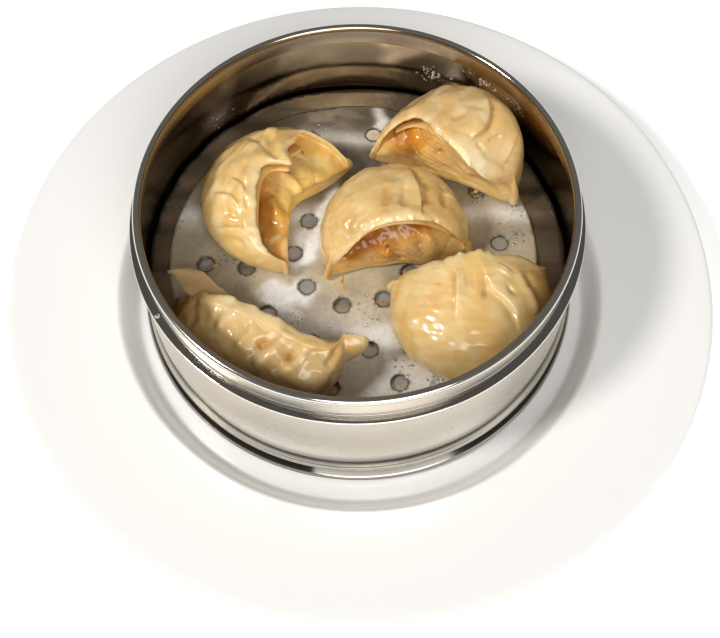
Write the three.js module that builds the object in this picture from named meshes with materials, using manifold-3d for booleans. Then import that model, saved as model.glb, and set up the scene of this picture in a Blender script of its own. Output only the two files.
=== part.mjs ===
// Plate of jiaozi: five pleated dumplings on perforated paper in a stainless steamer basket,
// which stands in the well of a white wide-rimmed plate.
// Millimetres, +Z up, +Y away from the viewer. The origin is the middle of the plate's foot.

import * as THREE from 'three';
import { mergeVertices } from 'three/addons/utils/BufferGeometryUtils.js';
import Module from 'manifold-3d';

const wasm = await Module();
wasm.setup();

// ---------------------------------------------------------------- driving dimensions

const PLATE = {
  radius: 150, // 300 mm plate
  lipHeight: 20.6,
  lipRadius: 2,
  wellEdge: 105, // where the rim turns down into the well
  wellEdgeHeight: 16.2,
  wellRadius: 96, // flat floor of the well
  wellHeight: 6.4,
  thickness: 4,
  footRadius: 84,
  footWidth: 4.5,
};

const BASKET = {
  centre: [-0.6, 4.3],
  bottom: 6.7, // stands 0.3 mm clear of the glaze
  top: 73.6,
  rimRadius: 86.9,
  rimRoll: 1.6, // half the height of the rolled rim
  neckRadius: 86.3, // short band under the rim, which fits into the tier above
  neckBottom: 62.7,
  ledgeRadius: 90, // narrow ledge that carries the tier above
  ledgeTop: 62.2,
  ledgeBottom: 61.1,
  skirtRadius: 89.4, // tall lower band
  skirtTop: 60.3,
  skirtBottom: 20,
  grooveHeight: 18.4,
  beadRadius: 91.2,
  beadRoll: 2.4,
  beadHeight: 14.7,
  gapRadius: 89.8, // between the bead and the foot
  gapHeight: 11.4,
  footRadius: 92.9,
  footRoll: 1.7,
  sheet: 0.9,
};

const FLOOR = {
  radius: 87.4,
  top: 30, // crest of the pressed ridges
  sheet: 1.2,
  ridgePitch: 18.4,
  ridgeFoot: 8, // width of a ridge at its foot
  ridgeCrest: 3.6,
  ridgeHeight: 1.1,
  ridgeStart: -97.5,
  holeRadius: 3.6,
};

const PAPER = {
  centre: [-2.5, 3.4],
  radius: 77,
  bottom: 30.3,
  thickness: 0.4,
  holeRadius: 3.4,
};

const FOOD_BOTTOM = 31; // 0.3 mm above the paper
const SKIN = 2.3; // rolled dough
const CLEARANCE = 0.7; // between a wrapper and its filling
const FILLING_END = 0.7; // how far along the crescent the filling reaches
const SIDES = 48; // of everything turned
const HOLE_SIDES = 6;

// Each dumpling is a crescent. `turn` is the heading of its long axis in plan, from its first tip to
// its second, and its smooth face looks to the right of that heading. Lengths are millimetres; the
// lists of two are for the first and the second tip, and the lists of three are what is added at the
// first third, the middle and the last third. A kink is [measure, place, spread, amount] and a pleat
// is [place, depth, spread], with places from -1 to 1 along the crescent.
const JIAOZI = [
  {
    name: 'left', open: true, at: [-27.9, 24.8], turn: 63.2, length: 61.1, bend: 13, skew: -0.6,
    back: 39, face: 1.3, height: 22.8, crown: -21.5, reach: -10.6, reachSkew: -3.2, lean: 1.4,
    tips: [4.2, 4.3], lift: [1.5, 2.7], beak: [0.06, 0.07],
    swell: {
      back: [-0.4, 0.6, 0.4], height: [0.4, 1.1, -2.2], reach: [-3.7, -4.9, -2.7],
      face: [-1, -3.6, 1.8],
    },
    kinks: [
      ['reach', 0.22, 0.09, 8.7], ['reach', 0.64, 0.1, -5.7], ['crown', 0.57, 0.24, -5.7],
      ['flange', 0.66, 0.26, -6.2],
    ],
    pleats: [[-0.66, 1.2, 0.08], [-0.48, 1.3, 0.08], [-0.24, 1.6, 0.1], [0.3, 2.2, 0.1]],
  },
  {
    name: 'centre', open: true, at: [14, 9], turn: 11.2, length: 63.5, bend: 12.9, skew: 1.9,
    back: 26.3, face: 12.4, height: 29.1, crown: -6.5, reach: 10.1, reachSkew: 0.2, lean: -3,
    tips: [4.2, 4.2], lift: [0, 0.7], beak: [0.1, 0.08],
    swell: {
      back: [-2, 0.7, 0], height: [1.1, 0.2, 0.1], reach: [-0.4, 0.6, -2.1], face: [-1.6, -0.8, 1.6],
    },
    kinks: [],
    pleats: [[-0.12, 1.2, 0.1], [0.06, 1.4, 0.1], [0.26, 3.2, 0.14], [0.52, 1.8, 0.1]],
  },
  {
    name: 'upper_right', open: true, at: [39.8, 46.6], turn: -21.4, length: 67.6, bend: 9.5, skew: -0.6,
    back: 24.9, face: 6.2, height: 38.5, crown: -7.1, reach: 15.3, reachSkew: 7.8, lean: -1,
    tips: [4.1, 4.5], lift: [2.9, 0.7], beak: [0.08, 0.1],
    swell: {
      back: [-4.3, 1, 0], height: [-2.7, 0.7, 6], reach: [-7.8, 0, 2], face: [0, 1, 0.8],
    },
    kinks: [['reach', -0.4, 0.25, -2.5]],
    pleats: [[-0.09, 1.3, 0.1], [0.36, 2.4, 0.1], [0.74, 1.8, 0.1]],
  },
  {
    name: 'lower_right', open: false, at: [44.4, -27.2], turn: 184.8, length: 65, bend: 11.4, skew: 1,
    back: 31.4, face: 10.2, height: 30.7, crown: -5.8, reach: 11.8, reachSkew: 0.4, lean: -1.2,
    tips: [4.4, 4.2], lift: [10.4, 9.5], beak: [0.08, 0.08],
    swell: {
      back: [-3.3, 2.6, 0], height: [-0.3, -0.3, -0.3], reach: [0.5, 1.5, -1.2], face: [0, 0, 0],
    },
    kinks: [],
    pleats: [[-0.62, 2.2, 0.1], [-0.32, 3, 0.12], [-0.02, 1.6, 0.08], [0.3, 1.2, 0.1]],
  },
  {
    name: 'lower_left', open: false, leaf: true, at: [-38, -38.7], turn: 161.5, length: 83,
    bend: 5.8, skew: 3.4, back: 26.6, face: 2.6, height: 26.8, crown: -7.1, reach: -1.6,
    reachSkew: 3.4, lean: 1.8, tips: [4.2, 4.2], lift: [17.2, 0], beak: [0.21, 0.03],
    swell: {
      back: [7.2, 0, 1.7], height: [0.1, 0, 0.2], reach: [-2.5, 1, 0.5], face: [-1.1, 0, 0],
    },
    kinks: [],
    pleats: [[-0.62, 1.3, 0.08], [-0.4, 1.5, 0.08], [-0.14, 1.5, 0.08], [0.14, 1.4, 0.08], [0.5, 1.2, 0.08]],
  },
];

// The leaf of dough at the second tip of the lower left dumpling. Its middle line is a curve from a
// root inside the dumpling, drawn towards a corner, to a tip.
const LEAF = {
  root: [-53.8, -31.2, 44.9],
  corner: [-68.2, -14, 51],
  tip: [-76.5, -14.6, 47.5],
  halfWidth: 5.3,
  tipHalfWidth: 0.4,
  narrowing: [3.9, 2.2], // how late and how fast it narrows towards its tip
  thickness: 1.4,
  camber: 1.2, // its middle stands above its edges
  stations: 10,
};

// ---------------------------------------------------------------- materials

const finish = (color, roughness, metalness = 0) =>
  new THREE.MeshStandardMaterial({ color, roughness, metalness });

const MATERIAL = {
  glaze: finish(0xf1f0ea, 0.15),
  steel: finish(0xb9b4ab, 0.25, 1),
  floorSteel: finish(0x9a958b, 0.35, 1),
  paper: finish(0xd9d6cd, 0.5),
  dough: finish(0xe6c888, 0.3),
  filling: finish(0xb88a5c, 0.3),
};

// ---------------------------------------------------------------- geometry helpers

const AXIS = 0.01; // radius at which a turned outline starts and ends, next to its axis
const CUT_HEIGHT = 20;

function signedVolume(geometry) {
  const p = geometry.attributes.position;
  const index = geometry.index.array;
  const [a, b, c] = [new THREE.Vector3(), new THREE.Vector3(), new THREE.Vector3()];
  let sum = 0;
  for (let i = 0; i < index.length; i += 3) {
    a.fromBufferAttribute(p, index[i]);
    b.fromBufferAttribute(p, index[i + 1]);
    c.fromBufferAttribute(p, index[i + 2]);
    sum += a.dot(b.cross(c));
  }
  return sum / 6;
}

// Position-only geometry with shared vertices, no empty triangles, and its faces looking out.
function closed(geometry) {
  geometry.deleteAttribute('normal');
  geometry.deleteAttribute('uv');
  const merged = mergeVertices(geometry, 1e-4);
  const kept = [];
  for (let i = 0; i < merged.index.count; i += 3) {
    const [a, b, c] = [0, 1, 2].map((k) => merged.index.getX(i + k));
    if (a !== b && b !== c && c !== a) kept.push(a, b, c);
  }
  merged.setIndex(kept);
  if (signedVolume(merged) < 0) {
    for (let i = 0; i < kept.length; i += 3) [kept[i], kept[i + 1]] = [kept[i + 1], kept[i]];
    merged.setIndex(kept);
  }
  return merged;
}

function toManifold(geometry) {
  const mesh = closed(geometry);
  return new wasm.Manifold(new wasm.Mesh({
    numProp: 3,
    vertProperties: Float32Array.from(mesh.attributes.position.array),
    triVerts: Uint32Array.from(mesh.index.array),
  }));
}

function fromManifold(solid) {
  const mesh = solid.getMesh();
  const geometry = new THREE.BufferGeometry();
  geometry.setAttribute('position', new THREE.BufferAttribute(mesh.vertProperties, 3));
  geometry.setIndex(Array.from(mesh.triVerts));
  return geometry;
}

// Turns a closed outline of [radius, height] pairs about +Z.
function turned(outline) {
  const points = [...outline, outline[0]].map(([r, z]) => new THREE.Vector2(r, z));
  return closed(new THREE.LatheGeometry(points, SIDES).rotateX(Math.PI / 2));
}

// Points round part of a circle, between two bearings.
const arc = (centre, radius, from, to, count) => Array.from({ length: count }, (_, i) =>
  polar(radius, THREE.MathUtils.lerp(from, to, i / (count - 1)), centre).toArray());

// A cylinder about +Z, tall enough to cut right through a sheet at the origin.
const upright = (radius, sides) =>
  new THREE.CylinderGeometry(radius, radius, CUT_HEIGHT, sides).rotateX(Math.PI / 2);

// Skins a row of rings, all with the same number of points, and shuts both ends.
function skinned(rings) {
  const count = rings[0].length;
  const vertices = rings.flat();
  vertices.push(mean(rings[0]), mean(rings.at(-1)));
  const [first, last] = [vertices.length - 2, vertices.length - 1];
  const index = [];
  for (let i = 0; i < rings.length - 1; i++) {
    for (let j = 0; j < count; j++) {
      const next = (j + 1) % count;
      const [a, b] = [i * count + j, i * count + next];
      index.push(a, b, a + count, b, b + count, a + count);
    }
  }
  const end = (rings.length - 1) * count;
  for (let j = 0; j < count; j++) {
    const next = (j + 1) % count;
    index.push(first, next, j, last, end + j, end + next);
  }
  const geometry = new THREE.BufferGeometry().setFromPoints(vertices);
  geometry.setIndex(index);
  return closed(geometry);
}

const mean = (points) => points.reduce((sum, p) => sum.add(p), points[0].clone().setScalar(0))
  .divideScalar(points.length);
const bell = (x, place, spread) => Math.exp(-(((x - place) / spread) ** 2));
const polar = (radius, degrees, [x, y] = [0, 0]) => new THREE.Vector2(
  x + radius * Math.cos(THREE.MathUtils.degToRad(degrees)),
  y + radius * Math.sin(THREE.MathUtils.degToRad(degrees)),
);

// ---------------------------------------------------------------- plate

const WELL_STEPS = 3;

function plateGeometry() {
  const p = PLATE;
  const wellSide = Array.from({ length: WELL_STEPS + 1 }, (_, i) => {
    const t = i / WELL_STEPS;
    return [
      THREE.MathUtils.lerp(p.wellRadius, p.wellEdge, t),
      THREE.MathUtils.lerp(p.wellHeight, p.wellEdgeHeight, THREE.MathUtils.smoothstep(t, 0, 1)),
    ];
  });
  const underWell = p.wellHeight - p.thickness;
  return turned([
    [AXIS, p.wellHeight],
    ...wellSide,
    ...arc([p.radius - p.lipRadius, p.lipHeight - p.lipRadius], p.lipRadius, 90, -90, 5),
    [p.wellEdge + p.thickness, p.wellEdgeHeight - p.thickness],
    [p.footRadius + p.footWidth, underWell],
    [p.footRadius + p.footWidth, 0],
    [p.footRadius, 0],
    [p.footRadius, underWell],
    [AXIS, underWell],
  ]);
}

// ---------------------------------------------------------------- basket

// Up the outside from the foot roll, over the rim roll and down the inside.
function wallGeometry() {
  const b = BASKET;
  const inside = (radius) => radius - b.sheet;
  return turned([
    ...arc([b.footRadius - b.footRoll, b.bottom + b.footRoll], b.footRoll, -150, 60, 4),
    [b.gapRadius, b.gapHeight],
    ...arc([b.beadRadius - b.beadRoll, b.beadHeight], b.beadRoll, -45, 45, 3),
    [b.skirtRadius - b.sheet / 2, b.grooveHeight],
    [b.skirtRadius, b.skirtBottom],
    [b.skirtRadius, b.skirtTop],
    [b.ledgeRadius, b.ledgeBottom],
    [b.ledgeRadius, b.ledgeTop],
    [b.neckRadius, b.neckBottom],
    ...arc([b.rimRadius - b.rimRoll, b.top - b.rimRoll], b.rimRoll, -50, 230, 5),
    [inside(b.neckRadius), b.neckBottom - b.sheet],
    [inside(b.skirtRadius), b.ledgeTop - b.sheet],
    [inside(b.skirtRadius), b.skirtBottom],
    [inside(b.gapRadius), b.gapHeight],
  ]);
}

// Middles of the holes: rings of [radius, count, first bearing].
const FLOOR_HOLES = [[17, 6, -30], [39, 10, -154], [61, 14, -163]];
const PAPER_HOLES = [[25, 9, -101], [45, 12, -172], [62, 14, -176]];

const holeCentres = (rings) => rings.flatMap(([radius, count, bearing]) =>
  Array.from({ length: count }, (_, i) => polar(radius, bearing + (360 * i) / count)));

// The pressed sheet: straight ridges along X, cut to a disc and drilled.
function floorGeometry() {
  const f = FLOOR;
  const upper = [];
  for (let y = f.ridgeStart; y < -f.ridgeStart; y += f.ridgePitch) {
    const [foot, crest] = [f.ridgeFoot / 2, f.ridgeCrest / 2];
    upper.push([y - foot, -f.ridgeHeight], [y - crest, 0], [y + crest, 0], [y + foot, -f.ridgeHeight]);
  }
  const outline = new THREE.Shape([
    ...upper.map(([y, z]) => new THREE.Vector2(y, z)),
    ...upper.reverse().map(([y, z]) => new THREE.Vector2(y, z - f.sheet)),
  ]);
  const width = 4 * f.radius;
  const sheet = new THREE.ExtrudeGeometry(outline, { depth: width, bevelEnabled: false });
  sheet.translate(0, 0, -width / 2).rotateX(Math.PI / 2).rotateZ(Math.PI / 2);
  let solid = toManifold(sheet).intersect(toManifold(upright(f.radius, SIDES)));
  for (const at of holeCentres(FLOOR_HOLES)) {
    const drill = upright(f.holeRadius, HOLE_SIDES).translate(at.x, at.y, 0);
    solid = solid.subtract(toManifold(drill));
  }
  return fromManifold(solid).translate(...BASKET.centre, f.top);
}

const roundPath = (radius, corners, at = new THREE.Vector2()) =>
  Array.from({ length: corners }, (_, i) => polar(radius, (360 * i) / corners, [at.x, at.y]));

function paperGeometry() {
  const p = PAPER;
  const sheet = new THREE.Shape(roundPath(p.radius, SIDES));
  for (const at of holeCentres(PAPER_HOLES)) {
    sheet.holes.push(new THREE.Path(roundPath(p.holeRadius, HOLE_SIDES, at).reverse()));
  }
  const geometry = new THREE.ExtrudeGeometry(sheet, { depth: p.thickness, bevelEnabled: false });
  return closed(geometry).translate(...p.centre, p.bottom);
}

// ---------------------------------------------------------------- jiaozi

const FULLNESS = [2.3, 0.7]; // how fast the belly fills out from the tips
const RISE = [2.4, 0.85]; // how fast the seam climbs from the tips
const TIP_WIDTH = 1.5; // half the thickness of the pinched tips
const FLANGE = { length: 9, thickness: 2.6, undercut: 5 };
const THIRDS = [-0.6, 0, 0.6];
// The bead's key points, in parts of its half widths and its height.
const BEAD = [
  [-0.72, 0], [-1, 0.36], [-0.7, 0.8], [0, 1], [0.42, 0.96], [0.74, 0.85], [0.93, 0.7], [1.02, 0.55],
  [1.05, 0.42], [1.02, 0.26], [0.8, 0],
];
const BEAD_END = 0.4; // how full the dumpling is where the bead has opened to the whole section

// The measures of a dumpling at the place u, from -1 at its first tip to 1 at its second.
function measures(d, u) {
  const side = u < 0 ? 0 : 1;
  const a = Math.abs(u);
  const along = Math.min(a / (1 - d.beak[side]), 1);
  const full = Math.max(1 - along ** FULLNESS[0], 0) ** FULLNESS[1];
  const rise = Math.max(1 - a ** RISE[0], 0) ** RISE[1];
  const tip = d.tips[side];
  const grow = (measure) =>
    THIRDS.reduce((sum, place, i) => sum + (d.swell[measure]?.[i] ?? 0) * bell(u, place, 0.33), 0)
    + d.kinks.filter((k) => k[0] === measure)
      .reduce((sum, [, place, spread, amount]) => sum + amount * bell(u, place, spread), 0);
  return {
    full,
    back: TIP_WIDTH + (d.back - TIP_WIDTH) * full + grow('back'),
    face: TIP_WIDTH + (d.face - TIP_WIDTH) * full + grow('face'),
    height: tip + (d.height - tip) * rise + grow('height'),
    seam: tip * 0.55 + (d.height - tip * 0.55) * rise,
    reach: d.reach * full ** 0.8 + d.reachSkew * u * (1 - a) + grow('reach'),
    flange: 1.5 + (FLANGE.length - 1.5) * full ** 0.5 + grow('flange'),
    crown: d.crown * full + grow('crown'),
    tip,
  };
}

// The section's key points as [forward, up]: base, back, crown, seam flange, hollow, face, base. Near
// the tips they close to a plain pinched bead.
function sectionPoints(d, u) {
  const m = measures(d, u);
  const crown = Math.min(m.crown, m.reach - 0.7 * m.flange);
  const t = FLANGE.thickness;
  const root = [
    m.reach - m.flange,
    Math.max(m.seam - FLANGE.undercut * m.full - 0.9 * t, 0.42 * m.tip),
  ];
  const points = [
    [-0.72 * m.back, 0],
    [-m.back, 0.36 * m.height],
    [-0.7 * m.back + 0.2 * crown, 0.8 * m.height],
    [crown, m.height],
    [m.reach - 0.45 * m.flange, m.seam + 0.62 * t + 0.25 * (m.height - m.seam)],
    [m.reach, m.seam + 0.35 * t],
    [m.reach - 0.1, m.seam - 0.55 * t],
    root,
    [Math.max(root[0] + 0.5, 0.8 * m.face), Math.min(0.6 * m.height, 0.75 * root[1])],
    [1.02 * m.face, 0.26 * m.height],
    [0.8 * m.face, 0],
  ];
  const front = Math.max(m.face, 0.8 * TIP_WIDTH);
  const bead = BEAD.map(([n, z]) => [n * (n < 0 ? m.back : front), z * m.height]);
  const open = THREE.MathUtils.smoothstep(m.full, 0, BEAD_END);
  const tilt = (d.lean * m.full) / d.height;
  return points.map(([n, z], i) => new THREE.Vector2(n, z)
    .lerp(new THREE.Vector2(...bead[i]), 1 - open))
    .map(({ x, y }) => new THREE.Vector2(x + tilt * y, y));
}

// Samples a closed smooth curve, `steps[k]` times between key points k and k + 1.
function smoothRing(points, steps) {
  const curve = new THREE.CatmullRomCurve3(
    points.map((p) => new THREE.Vector3(p.x, p.y, 0)), true, 'catmullrom', 0.5,
  );
  return points.flatMap((_, k) => Array.from({ length: steps[k] }, (__, j) => {
    const place = k + j / steps[k];
    return { place, point: curve.getPoint(place / points.length) };
  }));
}

// How deep the pleats press in at `place` round the section: they start at the flange and fade
// down the back, steep on one side and slow on the other.
function pleatDepth(d, u, place) {
  const up = (place - 1) / 4;
  if (up <= 0 || up >= 1.15) return 0;
  const fade = Math.min(up, 1) ** 0.7 * THREE.MathUtils.clamp(5 * (1.08 - up), 0, 1);
  return d.pleats.reduce((sum, [at, depth, spread]) => {
    const x = u - at;
    return sum + depth * fade * Math.exp(x < 0 ? x / (0.35 * spread) : -x / spread);
  }, 0);
}

// Where the section at u stands in plan: its middle and the direction its face looks.
function station(d, u) {
  const half = d.length / 2;
  const turn = THREE.MathUtils.degToRad(d.turn);
  const heading = new THREE.Vector2(Math.cos(turn), Math.sin(turn));
  const forward = new THREE.Vector2(Math.sin(turn), -Math.cos(turn));
  const middle = new THREE.Vector2(...d.at)
    .addScaledVector(heading, half * u)
    .addScaledVector(forward, d.bend * u * u + d.skew * u * (1 - u * u));
  const slope = (2 * d.bend * u + d.skew * (1 - 3 * u * u)) / half;
  const path = heading.clone().addScaledVector(forward, slope).normalize();
  return { middle, face: new THREE.Vector2(path.y, -path.x) };
}

// Rounds the very ends: the section shrinks about its middle over the last stretch.
function endScale(u, from, to) {
  const a = (Math.abs(u) - from) / (to - from);
  return a <= 0 ? 1 : Math.sqrt(Math.max(1 - a * a, 0.04));
}

// Places along the crescent, closer together towards its tips.
const STATIONS = Array.from({ length: 33 }, (_, i) => Math.sin((Math.PI / 2) * (i / 16 - 1)));

// Skins the dumpling's sections, whose key points come from `keyPoints(u)`.
function crescent(d, keyPoints, steps, stations, pleated) {
  const reach = stations.at(-1);
  const rings = stations.map((u) => {
    const points = keyPoints(u);
    const middle = mean(points);
    const scale = endScale(u, reach - 0.05, reach);
    const samples = smoothRing(points.map((p) => middle.clone().lerp(p, scale)), steps);
    const { middle: foot, face } = station(d, u);
    const lift = d.lift[u < 0 ? 0 : 1] * Math.abs(u) ** 3;
    return samples.map(({ place, point }, j) => {
      const before = samples.at(j - 1).point;
      const after = samples[(j + 1) % samples.length].point;
      const inward = new THREE.Vector2(after.y - before.y, before.x - after.x).normalize();
      const press = pleated ? pleatDepth(d, u, place) : 0;
      const n = point.x + inward.x * press;
      const z = Math.max(point.y + inward.y * press, 0);
      return new THREE.Vector3(foot.x + face.x * n, foot.y + face.y * n, FOOD_BOTTOM + z + lift);
    });
  });
  return skinned(rings);
}

const SHUT_STEPS = [2, 2, 2, 2, 1, 1, 1, 2, 2, 2, 1];
const WRAPPER_STEPS = [2, 2, 2, 2, 1, 1, 1, 1, 1, 1, 1, 1, 1, 1];
const FILLING_STEPS = [1, 1, 1, 1, 1, 2, 2, 1];

// The hollow's key points, from just inside the root of the flange round to the lower lip. Near the
// tips the hollow closes: its points move out to the face.
function hollowPoints(d, u) {
  const outer = sectionPoints(d, u);
  const m = measures(d, u);
  const [root, chest, belly, lip] = outer.slice(7, 11);
  const depth = THREE.MathUtils.smoothstep(0.9 - Math.abs(u), 0, 0.2);
  const inner = [
    new THREE.Vector2(Math.min(-0.5 * m.back, root.x - 4) + 0.4 * SKIN, 0.7 * m.height - 0.4 * SKIN),
    new THREE.Vector2(-m.back + 1.25 * SKIN, 0.36 * m.height),
    new THREE.Vector2(-0.62 * m.back + 0.2 * SKIN, SKIN),
    new THREE.Vector2(lip.x - 2 * SKIN, SKIN),
    new THREE.Vector2(lip.x + 0.2 * SKIN, SKIN + 0.3),
  ];
  const face = [
    root.clone().lerp(chest, 0.5), chest, chest.clone().lerp(belly, 0.5), belly,
    belly.clone().lerp(lip, 0.5),
  ];
  return inner.map((p, i) => face[i].clone().lerp(p, depth));
}

function wrapperGeometry(d) {
  const keyPoints = (u) => {
    const outer = sectionPoints(d, u);
    return [...outer.slice(0, 8), ...hollowPoints(d, u), outer[10]];
  };
  return crescent(d, keyPoints, WRAPPER_STEPS, STATIONS, true);
}

// The filling fills the hollow, short of its wall by the clearance, and is the face in the mouth.
function fillingGeometry(d) {
  const keyPoints = (u) => {
    const [root, chest, belly] = sectionPoints(d, u).slice(7, 10);
    const wall = [root, ...hollowPoints(d, u)];
    const middle = mean(wall);
    const inset = wall.map((p) => p.clone().add(middle.clone().sub(p).setLength(CLEARANCE)));
    return [...inset, belly, chest];
  };
  const stations = STATIONS.filter((u) => Math.abs(u) < FILLING_END);
  return crescent(d, keyPoints, FILLING_STEPS, stations, false);
}

const shutGeometry = (d) => crescent(d, (u) => sectionPoints(d, u), SHUT_STEPS, STATIONS, true);

// A thin cambered sheet round its middle line: three points across its upper face, three below.
function leafGeometry() {
  const l = LEAF;
  const line = new THREE.QuadraticBezierCurve3(
    new THREE.Vector3(...l.root), new THREE.Vector3(...l.corner), new THREE.Vector3(...l.tip),
  );
  const rings = Array.from({ length: l.stations }, (_, i) => {
    const s = i / (l.stations - 1);
    const middle = line.getPoint(s);
    const heading = line.getTangent(s);
    const across = new THREE.Vector3(heading.y, -heading.x, 0).normalize();
    const half = l.tipHalfWidth + l.halfWidth * (1 - s ** l.narrowing[0]) ** l.narrowing[1];
    const point = (side, up) => middle.clone().addScaledVector(across, side * half)
      .add(new THREE.Vector3(0, 0, up));
    const edge = l.thickness / 4;
    return [
      point(-1, edge), point(0, l.camber + 2 * edge), point(1, edge),
      point(1, -edge), point(0, l.camber - 2 * edge), point(-1, -edge),
    ];
  });
  return skinned(rings);
}

const withLeaf = (geometry) => closed(fromManifold(toManifold(geometry).add(toManifold(leafGeometry()))));

// ---------------------------------------------------------------- the whole

function piece(name, geometry, material) {
  const mesh = new THREE.Mesh(geometry, material);
  mesh.name = name;
  return mesh;
}

const whole = new THREE.Group();
whole.add(piece('plate', plateGeometry(), MATERIAL.glaze));

const wall = piece('basket_wall', wallGeometry(), MATERIAL.steel);
wall.position.set(...BASKET.centre, 0);
whole.add(wall);
whole.add(piece('basket_floor', floorGeometry(), MATERIAL.floorSteel));
whole.add(piece('paper_liner', paperGeometry(), MATERIAL.paper));

for (const jiaozi of JIAOZI) {
  if (jiaozi.open) {
    whole.add(piece(`${jiaozi.name}_wrapper`, wrapperGeometry(jiaozi), MATERIAL.dough));
    whole.add(piece(`${jiaozi.name}_filling`, fillingGeometry(jiaozi), MATERIAL.filling));
  } else {
    const body = shutGeometry(jiaozi);
    const shape = jiaozi.leaf ? withLeaf(body) : body;
    whole.add(piece(`${jiaozi.name}_jiaozi`, shape, MATERIAL.dough));
  }
}

export default whole;
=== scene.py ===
"""Looks of the plate of jiaozi: a finer mesh of the same form dresses every solid of the frame.

Sizes are millimetres in the construction and become metres when a mesh is made. The frame is the
part's own: +X right, +Y away from the viewer, +Z up, with the origin under the plate's middle.
Colours are linear red, green and blue.
"""

import math

import bpy
import numpy as np
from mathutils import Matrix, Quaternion, Vector
from mathutils.geometry import delaunay_2d_cdt


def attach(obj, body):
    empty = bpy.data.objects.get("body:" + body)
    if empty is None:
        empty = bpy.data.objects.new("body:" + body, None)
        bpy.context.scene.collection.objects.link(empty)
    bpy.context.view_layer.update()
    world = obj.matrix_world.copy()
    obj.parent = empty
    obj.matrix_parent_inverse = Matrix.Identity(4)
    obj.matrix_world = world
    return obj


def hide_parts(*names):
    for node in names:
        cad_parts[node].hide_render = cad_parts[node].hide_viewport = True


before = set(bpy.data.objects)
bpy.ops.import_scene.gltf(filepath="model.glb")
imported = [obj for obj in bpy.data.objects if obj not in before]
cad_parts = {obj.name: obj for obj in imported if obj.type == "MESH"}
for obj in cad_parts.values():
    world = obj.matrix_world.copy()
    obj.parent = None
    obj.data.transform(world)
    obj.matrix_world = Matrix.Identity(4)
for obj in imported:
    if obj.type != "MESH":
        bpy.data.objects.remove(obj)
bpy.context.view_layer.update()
MM = 0.001
RNG = np.random.default_rng(5)

# ---------------------------------------------------------------- sizes, as in the part's source

PLATE = {
    "radius": 150, "lip_height": 20.6, "lip_radius": 2, "well_edge": 105,
    "well_edge_height": 16.2, "well_radius": 96, "well_height": 6.4, "thickness": 4,
    "foot_radius": 84, "foot_width": 4.5,
}
BASKET = {
    "centre": (-0.6, 4.3), "bottom": 6.7, "top": 73.6, "rim_radius": 86.9, "rim_roll": 1.6,
    "neck_radius": 86.3, "neck_bottom": 62.7, "ledge_radius": 90, "ledge_top": 62.2,
    "ledge_bottom": 61.1, "skirt_radius": 89.4, "skirt_top": 60.3, "skirt_bottom": 20,
    "groove_height": 18.4, "bead_radius": 91.2, "bead_roll": 2.4, "bead_height": 14.7,
    "gap_radius": 89.8, "gap_height": 11.4, "foot_radius": 92.9, "foot_roll": 1.7, "sheet": 0.9,
}
FLOOR = {
    "radius": 87.2, "top": 30, "sheet": 1.2, "ridge_pitch": 18.4, "ridge_height": 1.1,
    "ridge_at": 5.5, "hole_radius": 3.6, "centre": BASKET["centre"],
}
PAPER = {
    "centre": (-2.5, 3.4), "radius": 77, "top": 30.7, "thickness": 0.4, "hole_radius": 3.4,
}
FOOD_BOTTOM = 31.0


# ---------------------------------------------------------------- meshes

def make_object(name, vertices, faces, material, slot, node=None):
    """A smooth mesh object from millimetre vertices, riding on the only body."""
    mesh = bpy.data.meshes.new(name)
    mesh.from_pydata((np.asarray(vertices) * MM).tolist(), [], faces)
    mesh.validate()
    mesh.shade_smooth()
    mesh.materials.append(material)
    obj = bpy.data.objects.new(name, mesh)
    bpy.context.scene.collection.objects.link(obj)
    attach(obj, "root")
    if node:
        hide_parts(node)
    return obj


def paint(obj, colours, alpha=1):
    """Stores one colour a vertex under the name tint, given as an array of shape (n, 3)."""
    layer = obj.data.color_attributes.new("tint", "FLOAT_COLOR", "POINT")
    full = np.empty((len(colours), 4), np.float32)
    full[:, :3] = colours
    full[:, 3] = alpha
    layer.data.foreach_set("color", full.ravel())


def ring_faces(rows, columns, wrap_rows=False):
    """Quads of a grid that wraps along its columns, and along its rows if asked."""
    faces = []
    for i in range(rows if wrap_rows else rows - 1):
        below, above = i * columns, ((i + 1) % rows) * columns
        for j in range(columns):
            k = (j + 1) % columns
            faces.append((below + j, below + k, above + k, above + j))
    return faces


def closed_grid(name, points, tint, material, slot, node=None):
    """A painted grid that wraps along its columns, shut at both ends by a point each."""
    rows, columns = points.shape[:2]
    faces = ring_faces(rows, columns)
    first, last, end = rows * columns, rows * columns + 1, (rows - 1) * columns
    for j in range(columns):
        k = (j + 1) % columns
        faces += [(first, k, j), (last, end + j, end + k)]
    vertices = np.r_[points.reshape(-1, 3), points[[0, -1]].mean(1)]
    obj = make_object(name, vertices, faces, material, slot, node)
    colours = tint.reshape(-1, 3)
    paint(obj, np.clip(np.r_[colours, colours[:1], colours[-1:]], 0, 1))


def turned(name, outline, sides, material, slot, node, centre=(0, 0), wobble=None):
    """Turns a closed outline of (radius, height) about +Z."""
    outline = np.asarray(outline, float)
    turn = np.linspace(0, 2 * np.pi, sides, endpoint=False)[:, None]
    r, z = np.tile(outline[:, 0], (sides, 1)), np.tile(outline[:, 1], (sides, 1))
    if wobble is not None:
        r, z = wobble(r, z, turn)
    x, y = centre[0] + r * np.cos(turn), centre[1] + r * np.sin(turn)
    faces = ring_faces(sides, len(outline), wrap_rows=True)
    return make_object(name, np.stack([x, y, z], -1).reshape(-1, 3), faces, material, slot, node)


def arc(centre, radius, start, end, count):
    """Points on a circle, from one angle in degrees to another."""
    turn = np.radians(np.linspace(start, end, count))
    return [(centre[0] + radius * math.cos(t), centre[1] + radius * math.sin(t)) for t in turn]


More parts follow.
